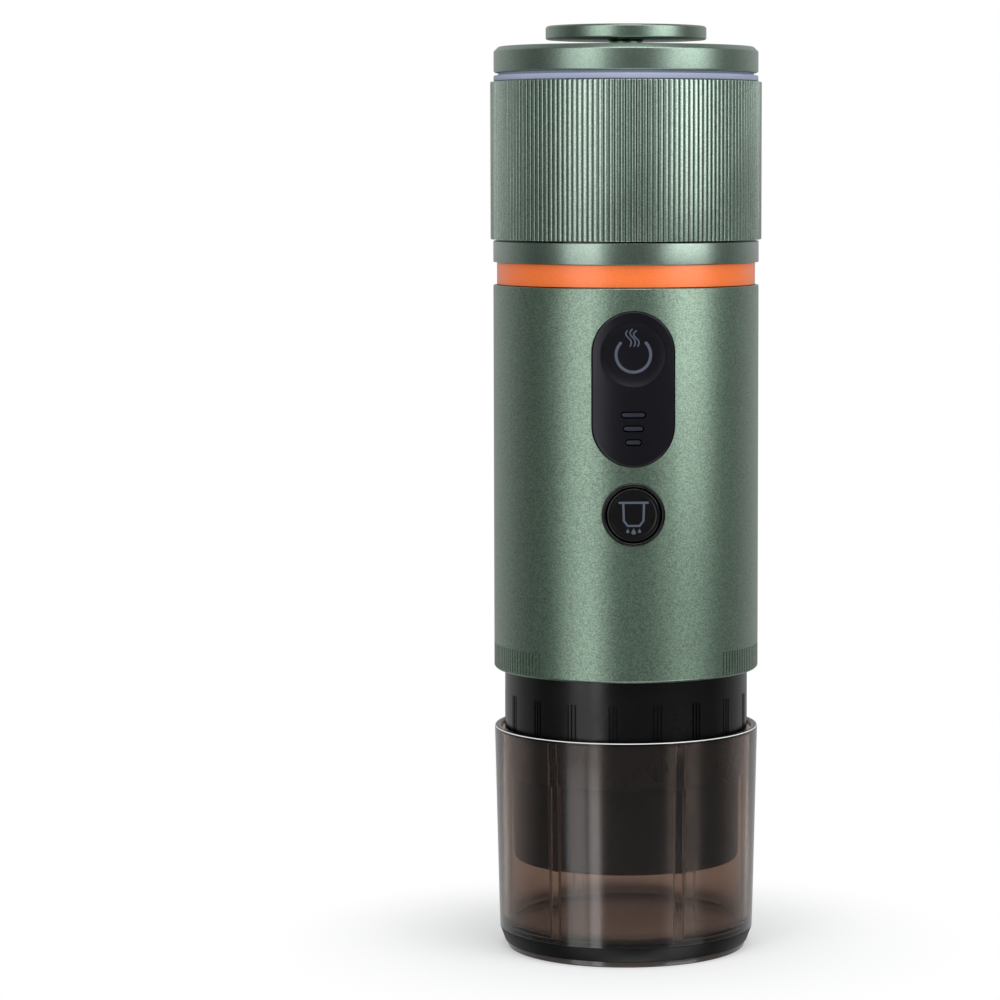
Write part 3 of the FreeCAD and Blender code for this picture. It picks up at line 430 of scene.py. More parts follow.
dim = ramp(tree, in_mirrors, 0.0, 1.0, room_as_fill, room_in_mirrors)
wall.inputs["Color"].default_value = (1, 1, 1, 1)
room.inputs["Color"].default_value = (0.96, 0.98, 1.0, 1)
tree.links.new(dim, room.inputs["Strength"])
studio = mixed_shaders(tree, white, room.outputs["Background"], wall.outputs["Background"])
tree.links.new(studio, output.inputs["Surface"])
print("white wall, room at", room_as_fill, "as fill and", room_in_mirrors, "in mirrors")

# %% [markdown]
# ## Floor
# The floor is pale paper. It keeps the object's shadow close by and fades to plain white farther out,
# where it would otherwise show a horizon. Real paper would also light up every lower edge of the
# metal. The photograph shows dark edges there, as over polished glass, so rays that come from a
# mirror meet a polished floor, which hands them on to the dim room.

# %% Floor
floor_radius = 6.0
fade_start, fade_end = 36 * mm, 100 * mm        # from the object's axis
deselect()
bpy.ops.mesh.primitive_circle_add(vertices=96, radius=floor_radius, fill_type="NGON",
                                  location=(0, 0, cad_low.z))
bpy.ops.object.transform_apply(location=True, rotation=True, scale=True)
floor = bpy.context.object
floor.name = "floor"
paper = bpy.data.materials.new("paper")
paper.use_nodes = True
tree = paper.node_tree
tree.nodes.clear()
output, matt, mirror, glow = new_nodes(tree, "OutputMaterial", "BsdfDiffuse", "BsdfGlossy", "Emission")
place, length, parts, path = new_nodes(tree, "TexCoord", "VectorMath", "SeparateXYZ", "LightPath")
matt.inputs["Color"].default_value = (0.9, 0.9, 0.9, 1)
mirror.inputs["Color"].default_value = (0.85, 0.85, 0.85, 1)
mirror.inputs["Roughness"].default_value = 0.06
length.operation = "LENGTH"
for node in (length, parts):
    tree.links.new(place.outputs["Object"], node.inputs[0])
behind = seen_through(tree, path, parts.outputs["Y"], -0.02, 0.05)
fade = ramp(tree, length.outputs["Value"], fade_start, fade_end, 0.3, 1.0, softly=True)
white = sums(tree, "MULTIPLY", fade, sums(tree, "MAXIMUM", path.outputs["Is Camera Ray"], behind))
glossy = path.outputs["Is Glossy Ray"]
polished = mixed_shaders(tree, glossy, matt.outputs["BSDF"], mirror.outputs["BSDF"])
lifted = mixed_shaders(tree, white, polished, glow.outputs["Emission"])
tree.links.new(lifted, output.inputs["Surface"])
floor.data.materials.append(paper)
floor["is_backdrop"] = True
print("floor", floor_radius, "m in radius")

# %% [markdown]
# ## Finishes
# Every finish is one Principled shader whose colour, roughness and bump come from noise. The noise
# reads object coordinates, so the grain has its real size in millimetres and stays on its piece when
# the piece moves. A picture of the surface would have to be stretched over each shape.
# Short helpers build the nodes. Values that are the same all over are set on the shader itself.

# %% Helpers for finishes
def srgb(red, green, blue):
    """Colour of 0 to 255 as seen, turned into the shader's linear values."""
    shares = (red / 255, green / 255, blue / 255)
    linear = [v / 12.92 if v < 0.04045 else ((v + 0.055) / 1.055) ** 2.4 for v in shares]
    return (*linear, 1.0)


def new_finish(name, **values):
    """Material with a Principled shader, its sockets set by name."""
    material = bpy.data.materials.new(name)
    material.use_nodes = True
    shader = material.node_tree.nodes["Principled BSDF"]
    for socket, value in values.items():
        shader.inputs[socket.replace("_", " ")].default_value = value
    return material


def wire(material, socket, value):
    """Links a socket of the shader."""
    shader = material.node_tree.nodes["Principled BSDF"]
    material.node_tree.links.new(value, shader.inputs[socket])


def mixed(material, factor, first, second):
    """Mix of two colours, each a colour or a socket."""
    tree = material.node_tree
    node, = new_nodes(tree, "Mix")
    node.data_type = "RGBA"
    tree.links.new(factor, node.inputs[0])
    for socket, value in ((node.inputs[6], first), (node.inputs[7], second)):
        if isinstance(value, tuple):
            socket.default_value = value
        else:
            tree.links.new(value, socket)
    return node.outputs[2]

# %% Helpers for grain
even = (1.0, 1.0, 1.0)

def grain(material, size, stretch=even, detail=2.0, flakes=False):
    """Noise, or flakes of one shade each, with features of a size in millimetres."""
    tree = material.node_tree
    place, mapping, texture = new_nodes(tree, "TexCoord", "Mapping", "TexVoronoi" if flakes else "TexNoise")
    mapping.inputs["Scale"].default_value = [share / (size * mm) for share in stretch]
    texture.inputs["Scale"].default_value = 1.0
    tree.links.new(place.outputs["Object"], mapping.inputs["Vector"])
    tree.links.new(mapping.outputs["Vector"], texture.inputs["Vector"])
    if flakes:
        shade, = new_nodes(tree, "SeparateColor")
        tree.links.new(texture.outputs["Color"], shade.inputs["Color"])
        return shade.outputs["Red"]
    texture.inputs["Detail"].default_value = detail
    return texture.outputs["Fac"]


def spread(material, noise, low, high):
    """Turns noise, which lies mostly between 0.3 and 0.7, into a value between two limits."""
    return ramp(material.node_tree, noise, 0.3, 0.7, low, high)


def bumped(material, factor, height, strength=1.0):
    """Bump of a height in millimetres."""
    tree = material.node_tree
    node, = new_nodes(tree, "Bump")
    node.inputs["Strength"].default_value = strength
    node.inputs["Distance"].default_value = height * mm
    tree.links.new(factor, node.inputs["Height"])
    return node.outputs["Normal"]

# %% [markdown]
# ## Blasted and anodised metal
# The aluminium is blasted with fine beads, then dyed and sealed. Each dent mirrors another part of
# the room, which shows as a grain of light and dark specks about a quarter of a millimetre across.
# Flakes of random shade give the specks, and a bump of the same size makes them catch the light.
# The sealed layer is a coat: it mirrors the lamps white, where the dyed metal alone would mirror them
# green. Turned pieces such as lid and rings are blasted more finely, so their bump is lower and their
# coat stronger. The grooves between the ridges lie in the shade of their walls, and that shade is
# painted in as a darker green; the ridges carry a lighter green, painted light for their highlights.

# %% Anodised metal
def anodised(name, dark, light, roughness, metallic=1.0, seal=0.36, seal_index=2.1, height=0.012):
    """Blasted, dyed aluminium; seal is the roughness of the clear layer that mirrors white."""
    speck = 0.25
    material = new_finish(name, Metallic=metallic, Coat_Weight=1.0, Coat_IOR=seal_index, Coat_Roughness=seal)
    specks = grain(material, speck, flakes=True)
    dents = grain(material, speck * 1.2)
    clouds = grain(material, 14.0)
    fine = mixed(material, specks, dark, light)
    worn = mixed(material, spread(material, clouds, 0.0, 0.06), fine, light)
    wire(material, "Base Color", worn)
    wire(material, "Roughness", spread(material, dents, roughness - 0.05, roughness + 0.05))
    wire(material, "Normal", bumped(material, dents, height))
    return material

green_metal = anodised("green_metal", srgb(74, 100, 81), srgb(136, 174, 146), 0.42)
green_turned = anodised("green_turned", srgb(100, 130, 111), srgb(131, 167, 143), 0.36,
                        seal_index=2.4, height=0.006)
green_ring = anodised("green_ring", srgb(107, 134, 117), srgb(138, 171, 150), 0.34,
                      seal=0.29, seal_index=2.4, height=0.006)
# Painted light on the grip sleeve: the ridges get a lighter green than the body, the groove core a darker one
# for the shade in the grooves.
green_ridged = anodised("green_ridged", srgb(126, 153, 136), srgb(170, 202, 182), 0.34,
                        seal=0.25, seal_index=2.5, height=0.008)
groove_shade_green = anodised("groove_shade_green", srgb(40, 54, 45), srgb(66, 86, 72), 0.46)
orange_metal = anodised("orange_metal", srgb(243, 109, 26), srgb(252, 121, 34), 0.42,
                        metallic=0.2, seal_index=1.6, height=0.003)
print("anodised green and orange")

# %% [markdown]
# ## Moulded plastics and silicone
# The black pieces are moulded: a spark-eroded mould leaves a fine grain, and handling leaves faint
# shinier patches. So the bump is a fine noise and the roughness a coarse one. The panel is softer and
# duller than the adapter, and the bowl is dull enough not to glitter through the cup's wall.

# %% Plastics and silicone
def moulded(name, dark, light, roughness, grain_size=0.35, height=0.012, patch=18.0, **values):
    """Moulded plastic with a fine grain and faint handling patches, sizes in millimetres."""
    material = new_finish(name, **values)
    fine = grain(material, grain_size)
    patches = grain(material, patch, detail=4.0)
    wire(material, "Base Color", mixed(material, spread(material, patches, 0.0, 1.0), dark, light))
    wire(material, "Roughness", spread(material, patches, roughness + 0.06, roughness - 0.06))
    wire(material, "Normal", bumped(material, fine, height, 0.6))
    return material

black_plastic = moulded("black_plastic", srgb(6, 6, 6), srgb(11, 11, 12), 0.24, height=0.008)
hard_black = moulded("hard_black", srgb(8, 8, 9), srgb(14, 14, 15), 0.26, height=0.004)
bowl_black = moulded("bowl_black", srgb(8, 8, 9), srgb(13, 13, 14), 0.48, height=0.004,
                     Specular_IOR_Level=0.2)
panel_black = moulded("panel_black", srgb(9, 9, 13), srgb(14, 14, 19), 0.32, 0.22, 0.006,
                      Specular_Tint=(0.9, 0.88, 1.0, 1.0))
heel_rubber = moulded("heel_rubber", srgb(6, 6, 7), srgb(10, 10, 11), 0.38, 0.5, 0.01,
                      Specular_IOR_Level=0.3)
grey_silicone = moulded("grey_silicone", srgb(146, 153, 176), srgb(158, 165, 186), 0.50, 0.4, 0.006)
clear_silicone = moulded("clear_silicone", srgb(196, 200, 202), srgb(214, 217, 218), 0.42, 0.5, 0.006,
                         Transmission_Weight=0.35, IOR=1.41)
icon_print = moulded("icon_print", srgb(66, 73, 89), srgb(74, 81, 97), 0.55, 0.2, 0.003)
light_guide = moulded("light_guide", srgb(38, 41, 50), srgb(45, 49, 59), 0.35, 0.3, 0.004)
print("plastics and silicone")

# %% [markdown]
# ## Smoky clear plastic
# The cup is dyed through and polished, with almost no grain, so its dye is a transmission colour.
# A bright line round the rim and pale edges along the ribs are painted highlights: light would find
# these edges only after very many samples, so each is a mask worked out from the place on the piece,
# where the plastic is less clear and carries the painted light. Inside the rim lies a near-black lip
# with almost no coat, the foot is greyer and less clear, and the colour darkens towards the cup's floor.
# The index of refraction is low, as if the walls were thin, so that the bowl behind them isn't bent
# out of place.

# %% Masks on the cup
rib_angles = [22 + 60 * index for index in range(6)]

def cup_masks(tree, across, deep, height):
    """Masks of 1 and 0 for the painted highlight on the rim, the lip, the painted highlights along the rib
    edges, and the foot.
    """
    sum_up = lambda *values: sums(tree, *values)
    both = lambda first, second: sum_up("MULTIPLY", first, second)
    outside, _, top = span("cup")
    radius, rim_height = (outside - 0.22) * mm, (top - 0.25) * mm
    reach = sum_up("SQRT", sum_up("ADD", both(across, across), both(deep, deep)))
    # Painted highlight: a bright line round the outer edge of the rim.
    rim_highlight = both(sum_up("GREATER_THAN", height, rim_height), sum_up("GREATER_THAN", reach, radius))
    lip = sum_up("SUBTRACT", sum_up("GREATER_THAN", height, rim_height - 1.0 * mm), rim_highlight)
    lip = both(lip, sum_up("LESS_THAN", reach, radius - 0.1 * mm))
    angle = sum_up("ARCTAN2", across, sum_up("MULTIPLY", deep, -1.0))
    from_rib = sum_up("SUBTRACT", angle, math.radians(rib_angles[0] - 360.0))
    # Painted highlight: a thin pale band on each side of every rib, where its edge would catch the light.
    aside = both(sum_up("PINGPONG", from_rib, math.radians(30.0)), reach)
    edge = sum_up("COMPARE", aside, 1.3 * mm)
    edge.node.inputs[2].default_value = 0.17 * mm       # half the width of the pale edge
    wall = sum_up("SUBTRACT", reach, sum_up("MULTIPLY", height, 0.0213))
    inside = sum_up("LESS_THAN", wall, 32.6 * mm)
    above_floor = sum_up("GREATER_THAN", height, 6.2 * mm)
    foot = sum_up("LESS_THAN", height, 1.6 * mm)
    return rim_highlight, lip, both(both(edge, inside), above_floor), foot

# %% Smoky clear plastic
def smoky():
    """Clear dyed plastic with painted highlights on its rim and rib edges, a near-black lip and a grey foot."""
    material = new_finish("smoky_plastic", IOR=1.25, Coat_IOR=1.7, Coat_Roughness=0.19)
    tree = material.node_tree
    place, parts = new_nodes(tree, "TexCoord", "SeparateXYZ")
    tree.links.new(place.outputs["Object"], parts.inputs["Vector"])
    height = parts.outputs["Z"]
    rim_highlight, lip, lines, foot = cup_masks(tree, parts.outputs["X"], parts.outputs["Y"], height)
    waves = grain(material, 9.0, detail=1.0)
    dye = mixed(material, spread(material, waves, 0.0, 1.0), (0.40, 0.305, 0.255, 1), (0.43, 0.33, 0.28, 1))
    at_floor = ramp(tree, height, 6.0 * mm, 9.5 * mm, 1.0, 0.0)
    colour = mixed(material, at_floor, dye, (0.10, 0.08, 0.07, 1))
    # Painted highlights: near-white round the rim and pale brown along the rib edges. The lip is near-black and
    # the foot grey.
    for mask, shade in ((lines, srgb(176, 150, 134)), (foot, srgb(84, 76, 72)),
                        (lip, srgb(9, 9, 9)), (rim_highlight, srgb(250, 249, 247))):
        colour = mixed(material, mask, colour, shade)
    partly = sums(tree, "ADD", sums(tree, "MULTIPLY", lines, 0.6), sums(tree, "MULTIPLY", foot, 0.7))
    solid = sums(tree, "ADD", sums(tree, "ADD", rim_highlight, lip), partly)
    wire(material, "Base Color", colour)
    wire(material, "Transmission Weight", sums(tree, "SUBTRACT", 1.0, solid))
    wire(material, "Coat Weight", ramp(tree, lip, 0.0, 1.0, 0.85, 0.1))
    wire(material, "Roughness", spread(material, grain(material, 6.0), 0.04, 0.08))
    wire(material, "Normal", bumped(material, waves, 0.002, 0.1))
    return material

smoky_plastic = smoky()
print("smoky plastic")

# %% [markdown]
# ## Steel, lacquer and what is inside
# Turned and drawn steel shows lines that run round the axis. Noise that is squeezed along Z gives
# them on every turned piece alike. The capsule is lacquered aluminium with a bare rim. The inner
# pieces get plain workshop finishes: glass fibre board, shrink wrap on the cells, zinc on the motor.

# %% Steel
def steel(name, dark, light, roughness, stretch=(1.0, 1.0, 14.0), size=3.0, height=0.006):
    """Brushed metal. The lines run round the axis when the noise changes quickly along Z."""
    material = new_finish(name, Metallic=1.0)
    lines = grain(material, size, stretch, 4.0)
    clouds = grain(material, 12.0)
    wire(material, "Base Color", mixed(material, spread(material, lines, 0.0, 1.0), dark, light))
    wire(material, "Roughness", spread(material, clouds, roughness - 0.05, roughness + 0.07))
    wire(material, "Normal", bumped(material, lines, height, 0.5))
    return material

brushed_steel = steel("brushed_steel", srgb(176, 178, 180), srgb(214, 215, 216), 0.26)
plain_steel = steel("plain_steel", srgb(186, 187, 189), srgb(210, 211, 213), 0.22, even, 1.2, 0.003)
motor_metal = steel("motor_metal", srgb(150, 152, 154), srgb(182, 184, 186), 0.34)
foil_metal = steel("foil_metal", srgb(205, 207, 210), srgb(226, 228, 230), 0.20, even, 2.0, 0.02)
heater_metal = steel("heater_metal", srgb(168, 160, 150), srgb(196, 190, 182), 0.38, even, 2.0)
print("steel")

# %% Capsule lacquer
def capsule_lacquer():
    """Red lacquer down to the bare rim."""
    material = new_finish("capsule_lacquer", Metallic=0.9, Coat_Weight=0.6, Coat_Roughness=0.12)
    tree = material.node_tree
    place, parts = new_nodes(tree, "TexCoord", "SeparateXYZ")
    tree.links.new(place.outputs["Object"], parts.inputs["Vector"])
    rim_top = (span("capsule_shell")[1] + 1.1) * mm
    lacquered = ramp(tree, parts.outputs["Z"], rim_top, rim_top + 0.1 * mm, 0.0, 1.0)
    creases = grain(material, 2.2, (1.0, 1.0, 0.25), 3.0)
    red = mixed(material, spread(material, creases, 0.0, 1.0), srgb(170, 14, 20), srgb(206, 26, 30))
    wire(material, "Base Color", mixed(material, lacquered, srgb(214, 216, 219), red))
    wire(material, "Roughness", spread(material, creases, 0.22, 0.34))
    wire(material, "Normal", bumped(material, creases, 0.03, 0.4))
    return material

capsule_red = capsule_lacquer()
print("lacquer")

# %% Inner finishes
board_green = moulded("board_green", srgb(22, 74, 48), srgb(30, 92, 60), 0.38, 0.9, 0.01, patch=3.0)
cell_wrap = moulded("cell_wrap", srgb(52, 92, 140), srgb(62, 106, 158), 0.30, 1.2, 0.008)
frame_plastic = moulded("frame_plastic", srgb(52, 54, 57), srgb(62, 64, 68), 0.50)
light_grey = moulded("light_grey", srgb(170, 172, 174), srgb(184, 186, 188), 0.46)
hose_silicone = moulded("hose_silicone", srgb(206, 208, 206), srgb(222, 223, 221), 0.45, 0.6, 0.01,
                        Transmission_Weight=0.25, IOR=1.41)
print("inner finishes")

# %% [markdown]
# ## Cup
# The cup is a clear injection-moulded tumbler that also carries the machine. Its half section has the
# foot, the groove of the heel ring and a wall that widens upwards, which one spin turns into a solid
# with both its faces, as clear plastic needs. Six ribs stand inside, with round ends and a ledge on
# which the adapter rests. One rib is an oblong, kept only where it meets a turned limit, copied round
# and joined to the wall, because a rib that only touched the wall would show as a seam.

# %% Cup
cup_radius, _, cup_rim = span("cup")
ledge_height = cup_rim - 12.8
cup = lathe("cup_shell", [
    (0, 1.0), (28.5, 1.0, 0.4), (28.5, 0, 0.4), (31.5, 0, 0.4), (31.5, 1.45),      # foot
    (30.9, 1.45), (30.9, 5.35), (33.45, 5.35), (33.6, 9.95, 1.5),                   # groove of the heel ring
    (cup_radius, cup_rim, 0.5), (33.0, cup_rim, 0.6), (31.85, 5.0, 4.0), (0, 5.0)])
rib = oblong("rib", 2.8, 47.6, 29.9, 29.0, 35.5, 32)
limits = lathe("rib_limits", [(30.95, 5.6), (32.6, 5.6), (33.8, 54.0), (32.35, 54.0),
                              (32.35, ledge_height), (30.95, ledge_height)], 96)
cut(rib, limits, "INTERSECT")
round_edges(rib, 0.25)
cut(cup, copies_round(rib, rib_angles), "UNION")
finish_piece(cup, "cup", smoky_plastic, "smoky_plastic", "cup")

# %% [markdown]
# ### Heel ring
# A soft black ring sits in the groove above the foot and keeps the cup from slipping. Its outside
# tapers in towards the table. It is turned like the cup, a twentieth of a millimetre clear of it.

# %% Heel ring
heel = lathe("heel_ring", [(30.95, 1.5), (32.1, 1.5, 0.3), (33.5, 5.3, 0.2), (30.95, 5.3)])
finish_piece(heel, "cup", heel_rubber, "soft_black", "cup_heel_ring")

# %% [markdown]
# ## Threads
# A thread is a small closed section carried up a screw line. The Screw modifier does that when it is
# given a rise, and keeps pitch and turns as plain numbers; the two open ends are then filled. The
# ridges are low, so that the two threads clear each other when the pieces are pulled straight apart.

# %% Thread helper
thread_pitch, thread_turns = 3.4, 2.2

def thread(name, radius, low, reach):
    """Low thread ridge at a radius; reach is positive outwards and negative inwards."""
    root = radius - math.copysign(0.1, reach)
    tip = radius + reach
    piece, _ = draw_section(name, [(root, low), (tip, low + 0.55), (tip, low + 0.95), (root, low + 1.5)])
    bpy.ops.mesh.select_all(action="SELECT")
    bpy.ops.mesh.edge_face_add()
    bpy.ops.mesh.delete(type="ONLY_FACE")
    bpy.ops.object.mode_set(mode="OBJECT")
    screw = piece.modifiers.new("screw", "SCREW")
    screw.screw_offset = thread_pitch * thread_turns * mm
    screw.angle = 2 * math.pi * thread_turns
    screw.steps = screw.render_steps = int(96 * thread_turns)
    apply_modifiers(piece)
    bpy.ops.object.mode_set(mode="EDIT")
    bpy.ops.mesh.select_all(action="DESELECT")
    bpy.ops.mesh.select_mode(type="EDGE")
    bpy.ops.mesh.select_non_manifold()
    bpy.ops.mesh.edge_face_add()
    bpy.ops.mesh.select_all(action="SELECT")
    bpy.ops.mesh.normals_make_consistent(inside=False)
    bpy.ops.object.mode_set(mode="OBJECT")
    smooth(piece)
    return piece

# %% [markdown]
# ## Capsule holder
# The black bowl that shows through the cup is a double wall: a smooth skirt outside, and inside it
# the deep chamber for the capsule. One half section holds both walls, the threaded neck and the spout.
# Moulders join such walls with thin webs, which show from below, so one web is copied round.

# %% Capsule holder
holder = lathe("holder_bowl", [
    (3.0, 24.6, 0.3), (4.6, 24.6, 0.5), (5.4, 27.7, 0.5),                   # spout
    (25.4, 27.7, 0.8), (25.4, 43.5, 0.6), (28.6, 43.5, 0.6),                # gap between the walls
    (28.6, 23.6, 0.4), (30.0, 23.6, 1.2), (30.4, 46.1, 0.2),                # skirt
    (28.15, 46.1), (28.15, 58.0, 0.8), (23.7, 58.0, 0.6),                   # neck
    (23.7, 32.0, 1.0), (12.45, 32.0), (12.45, 30.8), (3.0, 30.8)])          # chamber, seat of the plate
web = block("web", (-0.6, -28.9, 27.9), (0.6, -25.2, 43.7))
webs = copies_round(round_edges(web, 0.2), [30 * index for index in range(12)])
holder = join([holder, webs, thread("holder_thread", 28.15, 48.2, 0.2)])
finish_piece(holder, "holder", bowl_black, "black_plastic", "capsule_holder")

# %% [markdown]
# ## Adapter
# The ribbed black ring between body and cup is gripped with wet hands: tall grooves stand in groups
# of three, with pairs of short ones between them at the lower edge. Modelled as relief they catch the
# light at every angle, where a bump would vanish at the outline. One groove of each kind is a slim
# oblong, wider towards the front, and all copies are cut in a single pass.

# %% Adapter ring
adapter_radius, adapter_base = 32.0, 46.1
adapter = lathe("adapter_grip", [
    (28.6, 46.1, 0.4), (31.2, 46.1, 0.2), (32.0, 46.9, 0.3), (32.0, 75.7, 0.4),     # ring
    (29.8, 75.7, 0.2), (29.8, 80.7, 0.4), (27.8, 80.7, 0.4), (27.8, 71.2), (28.6, 69.7)])      # spigot
groups = []
for name, height, sides, first in (("tall", 22.0, (-1.0, 0.0, 1.0), 11.2), ("short", 4.4, (-0.5, 0.5), 1.2)):
    for side in sides:
        middle = adapter_base - 2 + height / 2
        groove = oblong(name, 0.42, height + 4, middle, adapter_radius - 0.38, adapter_radius + 0.4, 12)
        pick(groove)
        bpy.ops.object.mode_set(mode="EDIT")
        select_points(groove, is_front(adapter_radius))
        bpy.ops.transform.resize(value=(2.2, 1.0, 1.0))
        bpy.ops.object.mode_set(mode="OBJECT")
        groove.data.transform(Matrix.Translation((side * mm, 0, 0)))
        groups.append(copies_round(groove, [first + 20 * index for index in range(18)]))
cut(adapter, join(groups))
print("adapter ring with", 18 * 5, "grooves")

# %% [markdown]
# ### Collar, webs and bayonet
# Inside the ring hangs the collar that presses on the capsule, with the water boss on its roof, held
# by eight webs. Three tabs at the top of the spigot lock into the machine. A tab is a piece of a ring,
# so it is a small rectangle spun through a part of a turn.

# %% Part of a ring
def arc_block(name, inner, outer, low, high, middle, sweep):
    """Part of a ring, so many degrees wide, with its middle at an angle from the front."""
    deselect()
    bpy.ops.mesh.primitive_plane_add(size=1, rotation=(math.pi / 2, 0, 0),
                                     location=((inner + outer) / 2 * mm, 0, (low + high) / 2 * mm))
    bpy.context.object.scale = ((outer - inner) * mm, (high - low) * mm, 1)
    bpy.ops.object.transform_apply(location=True, rotation=True, scale=True)
    piece = bpy.context.object
    piece.name = name
    bpy.ops.object.mode_set(mode="EDIT")
    spin_round(12, sweep)
    weight = sum((vertex.co for vertex in piece.data.vertices), Vector())
    turn_round(piece, math.degrees(math.atan2(weight.x, -weight.y)) - middle)
    return piece

# %% Adapter
collar = lathe("collar", [
    (1.6, 62.4), (15.6, 62.4), (15.6, 34.15, 0.4), (16.75, 34.15), (16.75, 35.2), (20.25, 35.2), (20.25, 34.15),
    (21.4, 34.15, 0.4), (21.4, 65.9, 0.8), (5.0, 65.9, 1.5), (5.0, 76.0, 0.3), (1.6, 76.0, 0.3)])
web = round_edges(block("web", (-0.9, -29.1, 59.0), (0.9, -20.9, 70.0)), 0.3)
webs = copies_round(web, [22.5 + 45 * index for index in range(8)])
tabs = [round_edges(arc_block("tab", 29.5, 31.5, 78.7, 80.7, 120 * index, 30), 0.2) for index in range(3)]
adapter = join([adapter, collar, webs, thread("adapter_thread", 28.6, 49.6, -0.2)] + tabs)
finish_piece(adapter, "adapter", black_plastic, "black_plastic", "adapter_ring")

# %% [markdown]
# ## Body
# The body is a drawn tube with three openings: an oblong for the panel, a round one for the brew
# button and a small oblong at the back for the charging flap. Fine upright grooves are milled round
# its lower edge, but not across the front. Booleans cut all this as the mill does. The openings
# clear panel and button by a twentieth of a millimetre all round, and the flap by three tenths. All
# grooves are one tool, cut in a single pass.

# %% Openings and where they lie
def middle_of(node):
    """Height of a node's middle, in millimetres."""
    low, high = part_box(node)
    return (low.z + high.z) / 2 / mm


panel_width, panel_height, panel_middle = 21.3, 39.7, middle_of("control_panel")
bezel_radius, bezel_middle = 8.1, middle_of("button_bezel")
flap_width, flap_height, flap_middle = 14.4, 8.6, middle_of("port_flap")

def front_cutter(name, width, height, middle, points):
    """Oblong tool that reaches from inside the wall to well in front of it."""
    return oblong(name, width, height, middle, 28, 37, points)

print("panel, button and flap at", [round(v, 1) for v in (panel_middle, bezel_middle, flap_middle)], "mm")

# %% Body tube
body_radius, body_base, body_top = span("body_tube")
body_bore = body_radius - 1.5
tube = lathe("body_shell", [
    (body_bore, body_base, 0.2), (body_radius - 0.5, body_base, 0.1), (body_radius, body_base + 0.5, 0.2),
    (body_radius, body_top, 0.3), (body_bore, body_top, 0.2)])
cut(tube, front_cutter("panel_opening", panel_width + 0.1, panel_height + 0.1, panel_middle, 120))
cut(tube, front_cutter("bezel_opening", 2 * bezel_radius + 0.1, 2 * bezel_radius + 0.1, bezel_middle, 120))
flap_opening = front_cutter("flap_opening", flap_width + 0.6, flap_height + 0.6, flap_middle, 60)
turn_round(flap_opening, 180)
cut(tube, flap_opening)
groove = block("grip_groove", (-0.22, -36, body_base - 1), (0.22, 0.2 - body_radius, body_base + 6.7))
cut(tube, copies_round(groove, [43 + 2 * index for index in range(138)]))
finish_piece(tube, "machine", green_metal, "green_metal", "body_tube")

# %% [markdown]
# ## Panel and power key
# The panel follows the body's curve, and a shallow thumb dish is pressed into its upper end. Dish and
# key are one surface, so a single rule gives the distance of that surface from the axis: the body's
# circle, less a depth that falls off slowly from the dish's middle and quickly at its edge.
# A boolean with a ball would leave a sharp edge. Here a flat face is inset for its rounded edge and
# bridged with rings down to the key, each point is laid on the surface, and Solidify gives the back.

# %% Surface of the panel
flat_distance = 36          # flat faces are drawn here and then laid on their surface
dish_radius, dish_depth, dish_softness = 8.2, 1.1, 0.1
dish_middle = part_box("control_panel")[1].z / mm - 11.1

def soft_step(value):
    """Zero below nothing and the value above it, with a soft turn."""
    return (value + math.sqrt(value * value + dish_softness * dish_softness)) / 2


def body_front(x, z):
    """Distance from the axis of the body's surface, in millimetres."""
    return math.sqrt(body_radius ** 2 - x * x)


def panel_front(x, z):
    """Distance from the axis of the panel's surface, in millimetres."""
    share = (x * x + (z - dish_middle) ** 2) / dish_radius ** 2
    return body_front(x, z) - soft_step(dish_depth * (1 - share * share))


def inside_oblong(width, height, middle):
    """Distance of a point inside an upright or lying oblong to its edge."""
    radius = min(width, height) / 2
    return lambda x, z: radius - math.hypot(max(0, abs(x) - width / 2 + radius),
                                            max(0, abs(z - middle) - height / 2 + radius))

print("dish", dish_depth, "mm deep at", round(dish_middle, 1), "mm")

# %% Laying a face on a surface
def insets(widths):
    """In edit mode, insets the selected face again and again, in millimetres."""
    for width in widths:
        bpy.ops.mesh.inset(thickness=width * mm)


def lay_on(piece, front, outline=None, rounding=0.5):
    """Lays a flat face on a surface; outline gives the distance to the edge, which is rounded."""
    bpy.ops.object.mode_set(mode="OBJECT")
    for vertex in piece.data.vertices:
        x, z = vertex.co.x / mm, vertex.co.z / mm
        distance = front(x, z)
        if outline:
            inside = max(0.0, min(rounding, outline(x, z)))
            distance -= rounding - math.sqrt(rounding ** 2 - (rounding - inside) ** 2)
        vertex.co.y = -distance * mm
    if sum(polygon.normal.y * polygon.area for polygon in piece.data.polygons) > 0:
        piece.data.flip_normals()


def thicken(piece, thickness):
    """Gives a laid face its depth towards the axis."""
    solid = piece.modifiers.new("depth", "SOLIDIFY")
    solid.thickness = thickness * mm
    solid.offset = -1.0
    solid.use_even_offset = True
    apply_modifiers(piece)
    smooth(piece)

# %% Panel
slot_height, light_widths = 1.75, (6.45, 5.4, 4.3)
light_places = [(width, dish_middle - 15.25 - 3.5 * index) for index, width in enumerate(light_widths)]
edge_insets = (0.03, 0.07, 0.1, 0.13, 0.17)         # they add up to the rounding of the edge
panel = oblong_face("panel_skin", panel_width, panel_height, panel_middle, flat_distance, 180)
insets(edge_insets)
bpy.ops.mesh.delete(type="ONLY_FACE")
bpy.ops.mesh.primitive_circle_add(vertices=180, radius=dish_radius * mm,
                                  location=(0, -flat_distance * mm, dish_middle * mm),
                                  rotation=(math.pi / 2, math.pi / 180, 0))
to_edge = inside_oblong(panel_width, panel_height, panel_middle)
select_points(panel, lambda co: to_edge(co.x / mm, co.z / mm) > sum(edge_insets) - 0.002)
bpy.ops.mesh.select_mode(type="EDGE")
bpy.ops.mesh.bridge_edge_loops(number_cuts=22, interpolation="LINEAR")
bpy.ops.mesh.select_all(action="SELECT")
